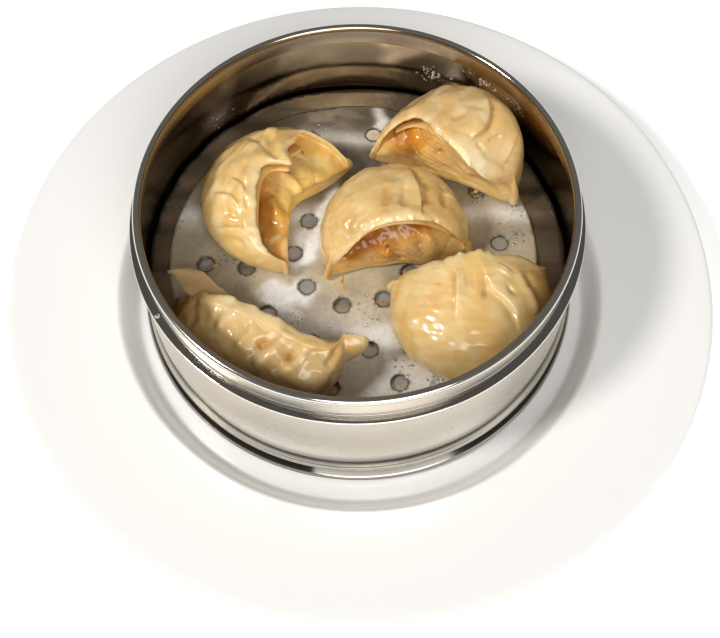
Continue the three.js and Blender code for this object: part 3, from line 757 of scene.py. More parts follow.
def stroke(d, points, uu, tt, mark):
    """Height of a groove, ridge or fold drawn along a path on the dumpling.

    A mark is (kind, width, amount, path). A fold stands high on the left of its path, in a picture
    with u to the right and t up, and drops over an edge into a crease on the right.
    """
    kind, width, amount, path = mark
    width = MARK_SPREAD * width
    path = smooth_path(path) if len(path) > 1 else np.array([path[0], path[0]], float)
    line = spots(d, path)
    height = np.zeros(points.shape[:2])
    reach = 4 * width + 1
    near = ((points > line.min(0) - reach) & (points < line.max(0) + reach)).all(-1)
    p, pu, pt = points[near], uu[near], tt[near]
    best, side, along = np.full(len(p), 1e9), np.zeros(len(p)), np.zeros(len(p))
    total = np.linalg.norm(np.diff(line, axis=0), axis=1).sum() + 1e-9
    run = 0.0
    for a, b, pa, pb in zip(line, line[1:], path, path[1:]):
        step = b - a
        length = np.linalg.norm(step) + 1e-9
        f = np.clip((p - a) @ step / length ** 2, 0, 1)
        away = np.linalg.norm(p - a - f[:, None] * step, axis=1)
        closer = away < best
        across = (pb[0] - pa[0]) * (pt - pa[1]) - (pb[1] - pa[1]) * (pu - pa[0])
        best[closer] = away[closer]
        side[closer] = np.sign(across[closer])
        along[closer] = (run + f[closer] * length) / total
        run += length
    if kind == "fold":
        x = best * side
        edge = np.clip((x + 0.6) / 0.95, 0, 1)
        edge = edge * edge * (3 - 2 * edge)
        profile = (edge * 0.75 * np.exp(-(np.maximum(x, 0) / (1.9 * width)) ** 2)
                   - (1 - edge) * np.exp(-(np.minimum(x, 0) / width) ** 2))
    else:
        profile = np.exp(-(best / width) ** 2) * (-1 if kind == "groove" else 1)
    ends = np.minimum(along, 1 - along)
    taper = 1.0 if len(mark[3]) == 1 else np.sqrt(np.clip(ends * 5 + 0.05, 0, 1))
    height[near] = amount * profile * taper
    return height


def mixed(tint, colour, amount):
    return tint + (np.array(colour) - tint) * np.clip(amount, 0, 1)[..., None]


CREAM = (0.83, 0.68, 0.4)
GOLD = (0.74, 0.52, 0.215)
AMBER = (0.62, 0.34, 0.08)
BROWN = (0.27, 0.08, 0.005)
ORANGE = (0.62, 0.25, 0.015)
PINK = (0.62, 0.4, 0.16)
YELLOW = (0.8, 0.54, 0.14)
TAN = (0.7, 0.42, 0.11)
DARK_SPECK = (0.25, 0.08, 0.01)


def dumpling_grid(d, u, t):
    """Points of a dumpling's smooth form with their normals, and their u and t."""
    points = stand(d, u, spline(section_points(d, u), t))
    return points, outward(points), *np.meshgrid(u, t, indexing="ij")


def all_marks(d, points, uu, tt, marks):
    return sum((stroke(d, points, uu, tt, mark) for mark in marks), np.zeros(uu.shape))


def stained_and_shaded(tint, d, points, stains_and_shading, here=1.0):
    """Adds soft round patches, real stain colours as well as painted shade and light:
    (place, size, amount, colour).
    """
    for place, size, amount, colour in stains_and_shading:
        away = np.linalg.norm(points - spots(d, [place])[0], axis=-1)
        tint = mixed(tint, colour, amount * np.exp(-(away / size) ** 2) * here)
    return tint


def mouth_mask(looks, uu, tt):
    """1 in the open mouth, falling to 0 at its borders."""
    low, high, root, lip = looks["mouth"]
    ends = np.clip((uu - low) / 0.3, 0, 1) * np.clip((high - uu) / 0.3, 0, 1)
    return ends * np.clip((tt - root) / 0.35, 0, 1) * np.clip((lip - tt) / 0.6, 0, 1)


def face_tint(looks, tint, uu, tt, points, d):
    """Colours of the smooth face: orange to brown under the flange, painted shade over the
    filling's own colour, and as dough at its borders.
    """
    x, y, z = points[..., 0], points[..., 1], points[..., 2]
    cloud = np.clip(0.5 + 0.5 * waves(x + 0.5 * z, y - z, 9, looks["seed"] + 3), 0, 1)
    here = np.clip((tt - 6.6) / 0.4, 0, 1) * np.clip((10.3 - tt) / 0.6, 0, 1)
    tint = mixed(tint, looks["face"], here)
    tint = mixed(tint, YELLOW, 0.4 * cloud * here)
    under = np.clip((np.interp(uu, *zip(*looks["dark"])) - tt) / 1.1, 0, 1) * here
    tint = mixed(tint, ORANGE, looks["shade"] * np.clip(2.5 * under, 0, 1))
    deep_shade = np.clip(2 * under - 0.5, 0, 1) * (0.6 + 0.4 * cloud)
    tint = mixed(tint, BROWN, looks["shade"] * deep_shade)
    return stained_and_shaded(tint, d, points, looks["face_stains_and_shading"], here)


# How far the skin steps back in an open mouth, and the filling starts behind it: in mm, and in
# parts of the way to the middle of its section.
MOUTH_STEP = 1.6
FILLING_INSET = 0.42


def build_skin(which, node, rows=216, columns=284):
    d, looks = JIAOZI[which], LOOKS[which]
    seed = looks["seed"]
    u = np.sin(np.linspace(-np.pi / 2, np.pi / 2, rows))
    points, normal, uu, tt = dumpling_grid(d, u, around_places(columns))
    marks = all_marks(d, points, uu, tt, looks["marks"])
    x, y, z = points[..., 0], points[..., 1], points[..., 2]
    relief = 0.3 * waves(x + 0.7 * z, y - 0.6 * z, 12, seed) * (1 - np.abs(uu) ** 6)
    relief = relief + 0.09 * waves(x + 0.8 * z, y + 0.5 * z, 5, seed + 1)
    along = 34 * uu
    ragged = 0.4 * waves(along, 0 * tt, 7, seed + 2) + 0.14 * waves(along, 0 * tt, 2.4, seed + 4)
    shift = marks + relief + ragged * bell(tt, 5.4, 0.55)
    shift = shift * np.clip((z - FOOD_BOTTOM) / 2.5, 0.05, 1)
    if "mouth" in looks:
        mouth = mouth_mask(looks, uu, tt)
        shift = shift * (1 - mouth) - MOUTH_STEP * mouth ** 1.5
    points = points + normal * shift[..., None]
    points[..., 2] = np.maximum(points[..., 2], FOOD_BOTTOM)

    tint = np.tile(np.array(looks["base"]), (rows, columns, 1)).astype(float)
    tint = mixed(tint, CREAM, 0.75 * bell(tt, 5.1, 0.75) * (1 - 0.5 * np.abs(uu) ** 3))
    # Painted shade in the creases and painted highlights on the ridges.
    tint = mixed(tint, AMBER, 0.5 * np.clip(-marks / 1.4, 0, 1))
    tint = mixed(tint, CREAM, 0.35 * np.clip(marks / 1.6, 0, 1))
    # Painted shade, darker towards the bottom where the dumpling meets the paper.
    tint = mixed(tint, AMBER, 0.35 * np.clip(1 - (z - FOOD_BOTTOM) / 9, 0, 1))
    if "mouth" in looks:
        tint = face_tint(looks, tint, uu, tt, points, d)
    else:
        # Painted shade under the flange.
        tint = mixed(tint, AMBER, 0.4 * bell(tt, 7.4, 0.9))
    tint = stained_and_shaded(tint, d, points, looks["stains_and_shading"])
    blotch = waves(x + z, y - z, 13, seed + 3) + 0.5 * waves(x - z, y + 0.5 * z, 5, seed + 6)
    tint = mixed(tint, TAN, 0.3 * np.clip(blotch, 0, 1))
    tint = mixed(tint, CREAM, 0.4 * np.clip(-blotch, 0, 1))
    closed_grid(which + "_skin", points, tint, DOUGH, "dough", node)


def build_filling(which, node, rows=130, columns=170):
    """The filling, which fills the dumpling's form in the mouth and sinks into it beyond."""
    d, looks = JIAOZI[which], LOOKS[which]
    low, high, root, lip = looks["mouth"]
    seed = looks["seed"] + 50
    t = np.interp(np.arange(columns) / columns * 12, (0, 2, 9, 12), (0, root - 0.3, lip + 0.3, 11))
    points, normal, uu, tt = dumpling_grid(d, np.linspace(low, high, rows), t)
    mask = mouth_mask(looks, uu, tt)
    x, y, z = points[..., 0], points[..., 1], points[..., 2]
    lumps = (0.45 * waves(x + 0.4 * z, y - 0.5 * z, 11, seed)
             + 0.4 * waves(y - z, x + 0.3 * z, 9, seed + 1)
             + 0.2 * waves(x + z, z - 0.7 * y, 5, seed + 2)
             + 0.07 * waves(y + 0.5 * z, z - x, 2.6, seed + 4))
    marks = all_marks(d, points, uu, tt, looks["face_marks"])
    shift = 0.3 + (np.maximum(lumps, -0.9) + marks) * mask
    inner = points + (points.mean(1, keepdims=True) - points) * FILLING_INSET
    points = inner + (points + normal * shift[..., None] - inner) * (mask ** 0.15)[..., None]
    points[..., 2] = np.maximum(points[..., 2], FOOD_BOTTOM + 0.3)

    tint = np.tile(np.array(looks["face"]), (rows, columns, 1)).astype(float)
    tint = face_tint(looks, tint, uu, tt, points, d)
    speckle = waves(x + 0.8 * z, y + 0.9 * z, 1.6, seed + 5)
    tint = mixed(tint, PINK, 0.2 * np.clip(speckle - 0.55, 0, 1))
    tint = mixed(tint, DARK_SPECK, 0.35 * np.clip(-speckle - 0.6, 0, 1))
    # Painted shade in the hollows between the lumps.
    tint = mixed(tint, BROWN, 0.5 * np.clip(-lumps - 0.2, 0, 1))
    closed_grid(which + "_stuffing", points, tint, FILLING, "filling", node)


LEAF = {
    "root": (-53.8, -31.2, 44.9), "corner": (-68.2, -14, 51), "tip": (-76.5, -14.6, 47.5),
    "half_width": 5.3, "tip_half_width": 0.4, "narrowing": (3.9, 2.2), "thickness": 1.4,
    "camber": 1.2, "base": (0.56, 0.38, 0.17), "edge": (0.72, 0.55, 0.3),
    "middle": (0.34, 0.2, 0.07),
}


def build_leaf(rows=70, columns=36):
    """The thin leaf of dough beyond the lower left dumpling's seam."""
    l = LEAF
    s = np.linspace(0, 1, rows)[:, None]
    root, corner, tip = (np.array(l[k]) for k in ("root", "corner", "tip"))
    middle = (1 - s) ** 2 * root + 2 * s * (1 - s) * corner + s ** 2 * tip
    heading = 2 * (1 - s) * (corner - root) + 2 * s * (tip - corner)
    across = np.stack([heading[:, 1], -heading[:, 0]], -1)
    across /= np.linalg.norm(across, axis=1)[:, None]
    half = l["half_width"] * (1 - s ** l["narrowing"][0]) ** l["narrowing"][1]
    turn = np.arange(columns) / columns * 2 * np.pi
    side, up = np.cos(turn), np.sin(turn)
    wave = 0.3 * np.sin(9 * s + 2.5 * side) + 0.12 * np.sin(23 * s + 4 * side)
    width = (l["tip_half_width"] + half) * (1 + 0.05 * np.sin(17 * s) + 0.03 * np.sin(41 * s + 1))
    height = l["camber"] * (1 - side ** 2) + wave * (1 - 0.5 * s) + 0.45 * l["thickness"] * up
    points = np.empty((rows, columns, 3))
    points[..., :2] = middle[:, None, :2] + across[:, None] * (width * side)[..., None]
    points[..., 2] = middle[:, 2:3] + height
    tint = np.tile(np.array(l["base"]), (rows, columns, 1))
    tint = mixed(tint, l["edge"], 0.6 * np.abs(side) ** 6 + 0.5 * bell(s, 0.75, 0.2))
    # Painted shade on the leaf's lower side.
    tint = mixed(tint, l["middle"], 0.5 * bell(s, 0.45, 0.25) * bell(side, -0.5, 0.6))
    closed_grid("lower_left_leaf", points, tint, DOUGH, "dough")


# Colours and marks of each dumpling. A place is (u, t): u runs along it from tip to tip, t round
# its section in key points. The mouth is its first and last u, then its t under the seam and below.
# "dark" is how far down, in t, the brown painted shade under the flange reaches at each u, and
# "shade" how strong it is. Each stain list mixes real tones with painted shade and painted light.
LOOKS = {
    "left": {
        "base": GOLD, "seed": 11, "mouth": (-0.66, 0.54, 6.9, 9.5), "face": (0.68, 0.42, 0.13),
        "shade": 0.95,
        "dark": (
            (-0.95, 7.6), (-0.75, 8.2), (-0.55, 8.5), (-0.2, 8.2), (0.02, 7.9), (0.2, 7.3),
            (0.3, 6.6), (1, 6.6),
        ),
        "marks": [
            ("fold", 1.3, 0.9, [(-0.17, 2.6), (-0.21, 3.1), (-0.28, 3.9)]),
            ("fold", 1.2, 1, [(-0.29, 2), (-0.31, 2.3), (-0.32, 2.6), (-0.35, 2.8), (-0.41, 3)]),
            ("groove", 0.8, 0.5, [(-0.47, 2.3), (-0.49, 2.5), (-0.52, 2.8)]),
            ("fold", 1.2, 0.9, [(-0.55, 1.6), (-0.57, 1.9), (-0.59, 2.3), (-0.61, 2.8),
                (-0.64, 3)]),
            ("groove", 1, 0.7, [(-0.62, 1.2), (-0.64, 1.5), (-0.68, 2.1), (-0.71, 2.3),
                (-0.77, 2.2)]),
            ("groove", 0.6, 0.6, [(-0.34, 3.9), (-0.38, 4.15), (-0.46, 4.3)]),
            ("groove", 1.3, 1.3, [(0.37, 2.9), (0.35, 3.1), (0.27, 3.3), (0.21, 3.5),
                (0.15, 4.4)]),
            ("groove", 0.9, 0.8, [(0.28, 1.9), (0.27, 2.4), (0.25, 2.9), (0.2, 3.5)]),
            ("ridge", 3.5, 1.1, [(0.4, 2.3), (0.47, 3)]),
            ("ridge", 3, 0.9, [(0.18, 2.4), (0.18, 2.9)]),
            ("ridge", 1.6, 0.7, [(0.27, 3.9), (0.21, 4.2)]),
        ],
        "stains_and_shading": [
            ((0.62, 7.6), 9, 0.6, YELLOW), ((0.47, 3.9), 5, 0.5, AMBER),
            ((0.6, 3.4), 4, 0.5, AMBER), ((-0.9, 7.6), 6, 0.6, AMBER),
            ((-0.7, 4.9), 5, 0.4, CREAM),
        ],
        "face_marks": [
            ("ridge", 1.5, 1.7, [(-0.1, 7.65), (-0.2, 7.7), (-0.38, 7.85), (-0.55, 7.95)]),
            ("groove", 1.7, 2, [(-0.1, 7.25), (-0.29, 7.45), (-0.47, 7.55), (-0.6, 7.6)]),
            ("groove", 1, 1.1, [(-0.06, 7.6), (-0.15, 7.7)]),
            ("ridge", 2.2, 0.8, [(0.42, 7.5), (0.36, 7.7)]),
            ("ridge", 2, 0.8, [(0.22, 7.8), (0.08, 7.9)]),
            ("groove", 1.2, 0.8, [(0.3, 7.4), (0.28, 7.9)]),
        ],
        "face_stains_and_shading": [
            ((0.1, 7.7), 9, 0.8, PINK), ((0.4, 7.6), 9, 0.85, PINK), ((0.2, 8.3), 7, 0.8, YELLOW),
            ((-0.2, 8.3), 6, 0.7, YELLOW), ((0.6, 7.8), 7, 0.9, YELLOW),
            # Painted shade under the flange, in dark brown.
            ((-0.3, 7.5), 4.5, 0.8, (0.32, 0.1, 0.01)),
            ((-0.5, 7.6), 4.5, 0.7, (0.4, 0.15, 0.015)),
            ((-0.1, 7.3), 4, 0.7, (0.32, 0.11, 0.012)), ((-0.38, 7.9), 3, 0.5, AMBER),
            ((-0.62, 8.6), 5, 0.8, AMBER), ((-0.4, 8.8), 5, 0.7, YELLOW),
        ],
    },
    "centre": {
        "base": GOLD, "seed": 21, "mouth": (-0.78, 0.74, 6.8, 9.8), "face": (0.64, 0.37, 0.1),
        "shade": 0.95,
        "dark": (
            (-0.9, 7.4), (-0.7, 8.8), (-0.4, 9.5), (-0.1, 9.2), (0.15, 8.6), (0.5, 8), (0.75, 7.2),
            (1, 6.6),
        ),
        "marks": [
            ("groove", 1.2, 0.9, [(-0.03, 3), (-0.05, 3.3), (-0.08, 3.5), (-0.13, 3.8)]),
            ("groove", 1.1, 0.9, [(0.15, 3.1), (0.14, 3.4), (0.12, 3.6), (0.09, 3.9)]),
            ("fold", 1.7, 1.5, [(0.21, 2.2), (0.27, 2.9), (0.32, 3.2), (0.34, 3.5), (0.35, 3.9)]),
            ("groove", 1.8, 0.9, [(0.36, 2.6), (0.41, 3.2), (0.43, 3.7)]),
            ("groove", 1.2, 0.9, [(0.54, 2.3), (0.58, 3), (0.59, 3.5)]),
            ("ridge", 2.6, 0.7, [(0.6, 2.3), (0.62, 2.6)]),
            ("ridge", 1.4, 0.3, [(-0.43, 2.3), (-0.46, 2.5)]),
            ("ridge", 1.4, 0.3, [(-0.71, 3.1), (-0.74, 3.3)]),
            ("groove", 0.5, 0.5, [(0.52, 5), (0.55, 5.3)]),
        ],
        "stains_and_shading": [
            ((0.88, 7.7), 8, 0.8, YELLOW), ((0.6, 4.3), 5, 0.4, AMBER), ((-0.9, 7), 6, 0.6, AMBER),
            # Painted shade under the flange, in brown.
            ((-0.5, 6.6), 6, 0.7, BROWN), ((0, 6.7), 7, 0.7, BROWN), ((0.4, 6.7), 6, 0.6, BROWN),
        ],
        "face_marks": [
            ("ridge", 1, 0.9, [(0, 7.7), (0.1, 7.55), (0.2, 7.65), (0.28, 7.7), (0.37, 7.8)]),
            ("ridge", 2.4, 1.2, [(-0.25, 8.8), (-0.12, 8.6)]), ("groove", 1, 1, [(0.38, 8.2)]),
            ("groove", 0.9, 0.9, [(0.08, 9.3)]),
            ("groove", 0.8, 0.9, [(-0.2, 8.45), (-0.16, 8.5)]),
        ],
        "face_stains_and_shading": [
            # Painted shade under the flange, in brown.
            ((-0.6, 7.9), 8, 0.7, BROWN), ((-0.4, 7.8), 7, 0.6, BROWN),
            ((0.25, 7.4), 7, 0.7, BROWN), ((-0.18, 8.7), 3.6, 0.9, (0.72, 0.3, 0.03)),
            ((0.64, 7.7), 6, 0.8, PINK), ((0.2, 8.7), 6, 0.8, PINK), ((0.5, 9), 6, 0.7, PINK),
            ((-0.02, 8), 3, 0.5, PINK), ((-0.45, 8.8), 4, 0.7, PINK), ((0.8, 8), 7, 0.85, YELLOW),
            ((-0.16, 8.4), 1, 0.9, (0.04, 0.02, 0.01)),
        ],
    },
    "upper_right": {
        "base": (0.7, 0.49, 0.22), "seed": 31, "mouth": (-0.7, 0.66, 6.8, 9.6),
        "face": (0.7, 0.45, 0.16), "shade": 0.8,
        "dark": (
            (-0.9, 7.2), (-0.7, 8.6), (-0.45, 9), (-0.25, 8.2), (0, 7.7), (0.6, 7.3), (0.85, 6.6),
            (1, 6.6),
        ),
        "marks": [
            ("fold", 1.6, 1.3, [(0.26, 2.7), (0.36, 3.1), (0.41, 3.3), (0.42, 3.5), (0.36, 3.8)]),
            ("groove", 1.5, 0.9, [(0.33, 2.7), (0.41, 3.1), (0.43, 3.5)]),
            ("ridge", 2.6, 0.8, [(0.24, 3.2), (0.29, 3.8)]),
            ("groove", 1.2, 0.8, [(0, 3.7), (0.07, 3.5), (0.13, 3.4)]),
            ("groove", 0.7, 0.8, [(0.54, 3.6), (0.6, 3.3)]),
            ("fold", 1.5, 1.3, [(0.66, 2.4), (0.72, 3), (0.75, 3.2), (0.77, 3.5)]),
            ("groove", 0.9, 0.8, [(0.8, 3.6), (0.67, 3.8), (0.57, 3.9)]),
            ("groove", 0.7, 0.5, [(0.44, 3.8), (0.56, 3.8)]),
            ("groove", 1.6, 1.2, [(-0.1, 1.9), (-0.08, 2.5)]),
        ],
        "stains_and_shading": [
            # Painted light on the flange near the right tip, and orange painted shade under the
            # flange.
            ((0.75, 4.2), 7, 0.7, CREAM), ((0.6, 4.9), 8, 0.9, (0.95, 0.84, 0.58)),
            ((0.35, 5.1), 5, 0.7, CREAM), ((0.8, 6.5), 7, 0.7, ORANGE),
            ((-0.5, 6.6), 6, 0.6, ORANGE), ((0, 6.8), 7, 0.6, ORANGE),
            ((0.45, 2.4), 6, 0.3, AMBER),
        ],
        "face_marks": [
            ("groove", 1.3, 1.2, [(-0.14, 8.4), (-0.07, 8.5)]),
            ("ridge", 1.8, 0.9, [(-0.32, 7.5), (-0.25, 7.9)]),
            ("ridge", 1.2, 0.7, [(-0.18, 7.4), (-0.2, 8)]),
        ],
        "face_stains_and_shading": [
            ((-0.45, 7.6), 7, 0.8, ORANGE), ((-0.65, 8), 6, 0.8, (0.5, 0.2, 0.02)),
            ((-0.33, 7.7), 2.5, 0.8, PINK), ((-0.1, 8.5), 3.5, 0.8, (0.42, 0.16, 0.015)),
            ((-0.36, 8.5), 1, 0.9, (0.05, 0.02, 0.01)), ((0.15, 8), 9, 0.9, PINK),
            ((0.4, 8.2), 10, 0.95, (0.66, 0.45, 0.2)), ((0, 8.9), 5, 0.8, PINK),
            ((0.6, 7.6), 7, 0.9, ORANGE), ((-0.55, 8.9), 4, 0.7, PINK),
        ],
    },
    "lower_right": {
        "base": GOLD, "seed": 41,
        "marks": [
            ("fold", 1.4, 1.4, [(0.22, 2.7), (0.22, 3.1), (0.23, 3.5), (0.24, 3.8)]),
            ("groove", 2, 0.8, [(0.13, 3.4), (0.01, 3.4)]),
            ("groove", 1.5, 1.9, [(-0.06, 3.15), (-0.12, 3.1)]),
            ("fold", 1.8, 1.5, [(-0.32, 2.3), (-0.32, 2.6), (-0.26, 2.9), (-0.17, 3.1),
                (-0.13, 3.5)]),
            ("groove", 1.2, 1.6, [(-0.34, 3), (-0.39, 3.05)]),
            ("ridge", 2.2, 0.9, [(-0.35, 3.5), (-0.42, 3.7)]),
            ("ridge", 1.7, 1.2, [(-0.55, 3.5), (-0.54, 2.9), (-0.53, 2.1)]),
            ("groove", 1.6, 1, [(-0.62, 3.4), (-0.6, 2.8)]),
            ("groove", 1.2, 0.6, [(0.45, 3.9), (0.42, 3.3)]),
        ],
        "stains_and_shading": [((-0.76, 2.9), 7, 0.6, AMBER), ((0.6, 4.2), 8, 0.3, CREAM)],
    },
    "lower_left": {
        "base": (0.7, 0.5, 0.23), "seed": 51,
        "marks": [
            ("groove", 1.4, 1.3, [(0.7, 3.8), (0.66, 3), (0.62, 2.6), (0.55, 2.3)]),
            ("ridge", 2, 0.8, [(0.77, 3), (0.74, 2.4)]),
            ("ridge", 1.8, 0.9, [(0.16, 4.6), (0.21, 3.3), (0.27, 2.8), (0.29, 2.4)]),
            ("groove", 1.1, 0.7, [(0.35, 3.6), (0.36, 2.9), (0.35, 2.5)]),
            ("groove", 1.1, 1, [(0.04, 3.1), (0.07, 2.8), (0.1, 2.5), (0.14, 2.2)]),
            ("ridge", 2.4, 1, [(-0.02, 3.1), (0.02, 2.7), (0.06, 2.3)]),
            ("groove", 1.1, 2.2, [(-0.09, 2.5), (-0.12, 2.6), (-0.16, 2.75)]),
            ("ridge", 1.7, 1.9, [(-0.32, 4.4), (-0.29, 3.1), (-0.25, 2.7), (-0.22, 2.5),
                (-0.18, 2.3), (-0.12, 2)]),
            ("groove", 1, 1.2, [(-0.23, 3.2), (-0.19, 2.85), (-0.14, 2.6), (-0.1, 2.4),
                (-0.06, 2.1)]),
            ("groove", 1, 2, [(-0.34, 2.6), (-0.37, 2.6), (-0.41, 2.7)]),
            ("ridge", 1.5, 1.5, [(-0.58, 4.4), (-0.51, 3.6), (-0.47, 2.7), (-0.43, 2.4),
                (-0.34, 2.2)]),
            ("groove", 1, 1.1, [(-0.46, 3.1), (-0.41, 2.8), (-0.37, 2.6), (-0.31, 2.3),
                (-0.27, 2)]),
            ("groove", 1.1, 1.4, [(-0.74, 2.8), (-0.7, 2.55), (-0.66, 2.3)]),
            ("ridge", 2.4, 0.8, [(-0.8, 2.3), (-0.73, 2.1), (-0.66, 1.8)]),
        ],
        "stains_and_shading": [
            # Painted shade on the left end and along the base at the front, among amber and cream
            # tones.
            ((0.8, 3), 9, 0.9, (0.42, 0.2, 0.04)), ((0.62, 2.4), 6, 0.6, AMBER),
            ((-0.75, 3), 6, 0.5, AMBER), ((-0.42, 0.5), 9, 0.95, (0.17, 0.06, 0.008)),
            ((-0.7, 0.5), 6, 0.7, (0.26, 0.1, 0.015)), ((-0.1, 1.5), 16, 0.3, AMBER),
            ((-0.97, 3.5), 3, 0.8, CREAM), ((0.3, 4.4), 8, 0.4, CREAM),
        ],
    },
}

for which in ("left", "centre", "upper_right"):
    build_skin(which, which + "_wrapper")
    build_filling(which, which + "_filling")
for which in ("lower_right", "lower_left"):
    build_skin(which, which + "_jiaozi")
build_leaf()


# ---------------------------------------------------------------- drops, crumbs and the rivet

def domes(spec, rings=4, sides=10):
    """Vertices and faces of flat-bottomed domes: middle, along, across and height vectors."""
    vertices, faces = [], []
    for at, along, across, height in spec:
        start = len(vertices)
        for i in range(rings):
            rise = i / rings * np.pi / 2
            for j in range(sides):
                turn = 2 * np.pi * j / sides
                out = along * math.cos(turn) + across * math.sin(turn)
                vertices.append(at + math.cos(rise) * out + height * math.sin(rise))
        vertices += [at + height, at - 0.05 * height]
        faces += [tuple(start + k for k in face) for face in ring_faces(rings, sides)]
        last, top = start + (rings - 1) * sides, start + rings * sides
        for j in range(sides):
            k = (j + 1) % sides
            faces += [(last + j, last + k, top), (start + k, start + j, top + 1)]
    return vertices, faces


PAPER_FACE = 30.68


def flat_dome(x, y, radius, height, length=None, turn=0.0, foot=PAPER_FACE):
    """A dome that lies on the paper or the floor, longer along its bearing if asked."""
    c, s = math.cos(math.radians(turn)), math.sin(math.radians(turn))
    return (np.array((x, y, foot)), (length or radius) * np.array((c, s, 0)),
            radius * np.array((-s, c, 0)), np.array((0, 0, height)))


# Where drops lie on the paper and the floor: middle, spread, count and largest radius.
DROPS_BELOW = [
    ((26.1, -41.5), 3.0, 22, 0.7), ((29, -56), 3.5, 26, 0.8), ((3, -24), 6.5, 26, 0.55),
    ((-24.5, -28), 5, 16, 0.6), ((67.5, 12), 4.5, 30, 0.75), ((67.5, 25), 5, 30, 0.7),
    ((-57, -1), 4, 18, 0.6), ((-8, -46), 4, 14, 0.6), ((12.5, -21), 4, 16, 0.5),
    ((15, -34), 4, 14, 0.6), ((17, -50), 3.5, 14, 0.7), ((-2, -35), 6, 18, 0.5),
    ((-76, 18), 4, 16, 0.7), ((33, 66), 9, 18, 0.6), ((-15, 68), 8, 16, 0.6),
    ((52, 30), 3, 10, 0.5),
]
# And on the wall inside: bearing, height, spreads, count and largest radius.
DROPS_ON_WALL = [
    (67, 45, (3.5, 4), 60, 0.75), (52, 54.5, (5, 2.5), 45, 0.55), (40, 55, (4, 3), 26, 0.5),
    (132, 38, (5, 4), 20, 0.5), (29, 60, (4, 2.5), 18, 0.45),
]


def drop_radius(largest):
    """Mostly small radii, in mm."""
    return largest * RNG.uniform(0.25, 1) ** 1.5 + 0.1


def build_drops():
    spec = []
    for (cx, cy), spread, count, largest in DROPS_BELOW:
        for _ in range(count):
            x, y = RNG.normal(cx, spread / 1.7), RNG.normal(cy, spread / 1.7)
            radius = drop_radius(largest)
            beyond = math.hypot(x - PAPER["centre"][0], y - PAPER["centre"][1]) - PAPER["radius"]
            if abs(beyond) < 1:
                continue
            floor_face = FLOOR["top"] + ridge(y - BASKET["centre"][1]) - 0.02
            foot = PAPER_FACE if beyond < 0 else floor_face
            spec.append(flat_dome(x, y, radius, 0.6 * radius, foot=foot))
    wall_face = BASKET["skirt_radius"] - BASKET["sheet"] + 0.02
    for bearing, z, spread, count, largest in DROPS_ON_WALL:
        for _ in range(count):
            turn = math.radians(RNG.normal(bearing, spread[0] / 1.7))
            up = RNG.normal(z, spread[1] / 1.7)
            radius = drop_radius(largest)
            out = np.array((math.cos(turn), math.sin(turn), 0))
            at = np.array((*BASKET["centre"], up)) + out * wall_face
            across = np.array((-out[1], out[0], 0))
            spec.append((at, radius * across, np.array((0, 0, radius)), -0.5 * radius * out))
    make_object("water_drops", *domes(spec), water_material(), "glaze")


# Crumbs, an orange trickle and oily spots: x, y, radius and height, then half length and bearing.
CRUMBS = [
    (50.9, 33.8, 0.9, 0.8, 1.4, 20), (52.6, 34.6, 0.5, 0.5), (49.2, 33.2, 0.4, 0.4),
    (-7.2, -9.4, 0.5, 0.35, 2.2, 80), (-6.8, -12.4, 0.4, 0.3, 1.6, 105), (-6.4, -14.6, 0.7, 0.4),
    (-60.5, -1.6, 0.8, 0.4, 1.9, 30), (-57.6, -2.6, 0.4, 0.3), (-62.9, 0.6, 0.5, 0.3),
    (23.5, -43.2, 0.4, 0.3), (31.6, -58.4, 0.5, 0.35), (5.6, -26.0, 0.3, 0.25),
    (-12.4, -31.4, 0.35, 0.25), (-39.7, -19.7, 0.4, 0.3), (57.2, 30.6, 0.35, 0.3),
    (10.6, -20.2, 0.3, 0.25),
]


def build_crumbs():
    vertices, faces = domes([flat_dome(*crumb) for crumb in CRUMBS], 5, 14)
    shaken = np.array(vertices)
    shaken += 0.08 * np.sin(9 * shaken[:, [1, 0, 1]] + np.array((0, 2, 4)))
    crumbs = make_object("crumbs", shaken, faces, FILLING, "filling")
    tone = np.clip(0.5 + 0.5 * waves(shaken[:, 0], shaken[:, 1], 3, 77), 0, 1)
    paint(crumbs, mixed(np.tile(np.array(ORANGE), (len(shaken), 1)), YELLOW, tone))


RIVET = {"bearing": -149, "from_middle": 88.3, "radius": 1.3, "height": 0.8, "brightness": 0.3,
         "roughness": 0.2}


def build_rivet():
    """The flat-headed rivet on the ledge, at the left of the picture."""
    turn = math.radians(RIVET["bearing"])
    out = np.array((math.cos(turn), math.sin(turn), 0))
    across = np.array((-out[1], out[0], 0))
    at = np.array((*BASKET["centre"], BASKET["ledge_top"] - 0.1)) + out * RIVET["from_middle"]
    head = (at, RIVET["radius"] * out, RIVET["radius"] * across, np.array((0, 0, RIVET["height"])))
    vertices, faces = domes([head], 8, 28)
    rivet = make_object("rivet", vertices, faces, STEEL, "steel")
    paint(rivet, np.full((len(vertices), 3), RIVET["brightness"]), RIVET["roughness"])


build_drops()
build_crumbs()
build_rivet()

# ---------------------------------------------------------------- camera, light and floor

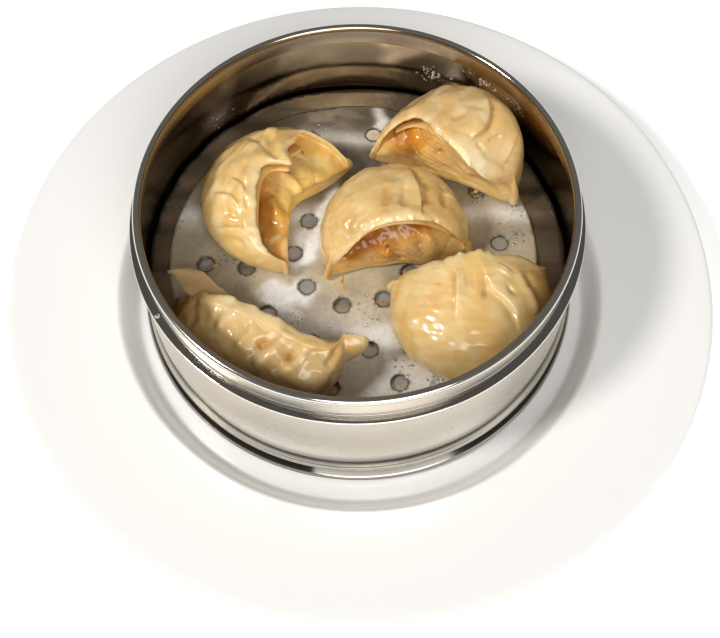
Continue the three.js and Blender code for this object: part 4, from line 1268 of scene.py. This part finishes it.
IMAGE_WIDTH = 720
FOCAL_PIXELS = 1073.1
CAMERA_AT = Vector((0, -224.67, 421.88)) * MM
LOOK_AT = Vector((0, -22.2, 20.0)) * MM
ROLL = math.radians(-0.63)


def build_camera():
    data = bpy.data.cameras.new("camera")
    data.sensor_width = 36
    data.lens = data.sensor_width * FOCAL_PIXELS / IMAGE_WIDTH
    camera = bpy.data.objects.new("camera", data)
    camera.location = CAMERA_AT
    camera.rotation_mode = "QUATERNION"
    look = (LOOK_AT - CAMERA_AT).to_track_quat("-Z", "Y")
    camera.rotation_quaternion = look @ Quaternion((0, 0, 1), ROLL)
    bpy.context.scene.collection.objects.link(camera)
    bpy.context.scene.camera = camera


def area_light(name, azimuth, elevation, distance, size, power, colour):
    a, e = math.radians(azimuth), math.radians(elevation)
    at = Vector((math.cos(e) * math.cos(a), math.cos(e) * math.sin(a), math.sin(e))) * distance
    data = bpy.data.lights.new(name, "AREA")
    data.shape = "DISK"
    data.size = size
    data.energy = power
    data.color = colour
    light = bpy.data.objects.new(name, data)
    light.location = at
    light.rotation_mode = "QUATERNION"
    light.rotation_quaternion = (-at).to_track_quat("-Z", "Y")
    bpy.context.scene.collection.objects.link(light)


def build_stage():
    half, down = 4.0, -0.0004
    mesh = bpy.data.meshes.new("table")
    corners = [(-half, -half, down), (half, -half, down), (half, half, down), (-half, half, down)]
    mesh.from_pydata(corners, [], [(0, 1, 2, 3)])
    mesh.materials.append(table_material())
    table = bpy.data.objects.new("table", mesh)
    bpy.context.scene.collection.objects.link(table)
    world = bpy.data.worlds.new("studio")
    bpy.context.scene.world = world
    world.use_nodes = True
    background = world.node_tree.nodes["Background"].inputs
    background["Color"].default_value = (1.0, 0.985, 0.96, 1)
    background["Strength"].default_value = 0.2
    area_light("key", 197.5, 47.2, 3.0, 0.6, 55.0, (1.0, 0.97, 0.93))
    area_light("soft", -80, 38, 2.6, 2.2, 62.0, (1.0, 0.985, 0.96))


build_camera()
build_stage()
bpy.context.scene.view_settings.view_transform = "Standard"
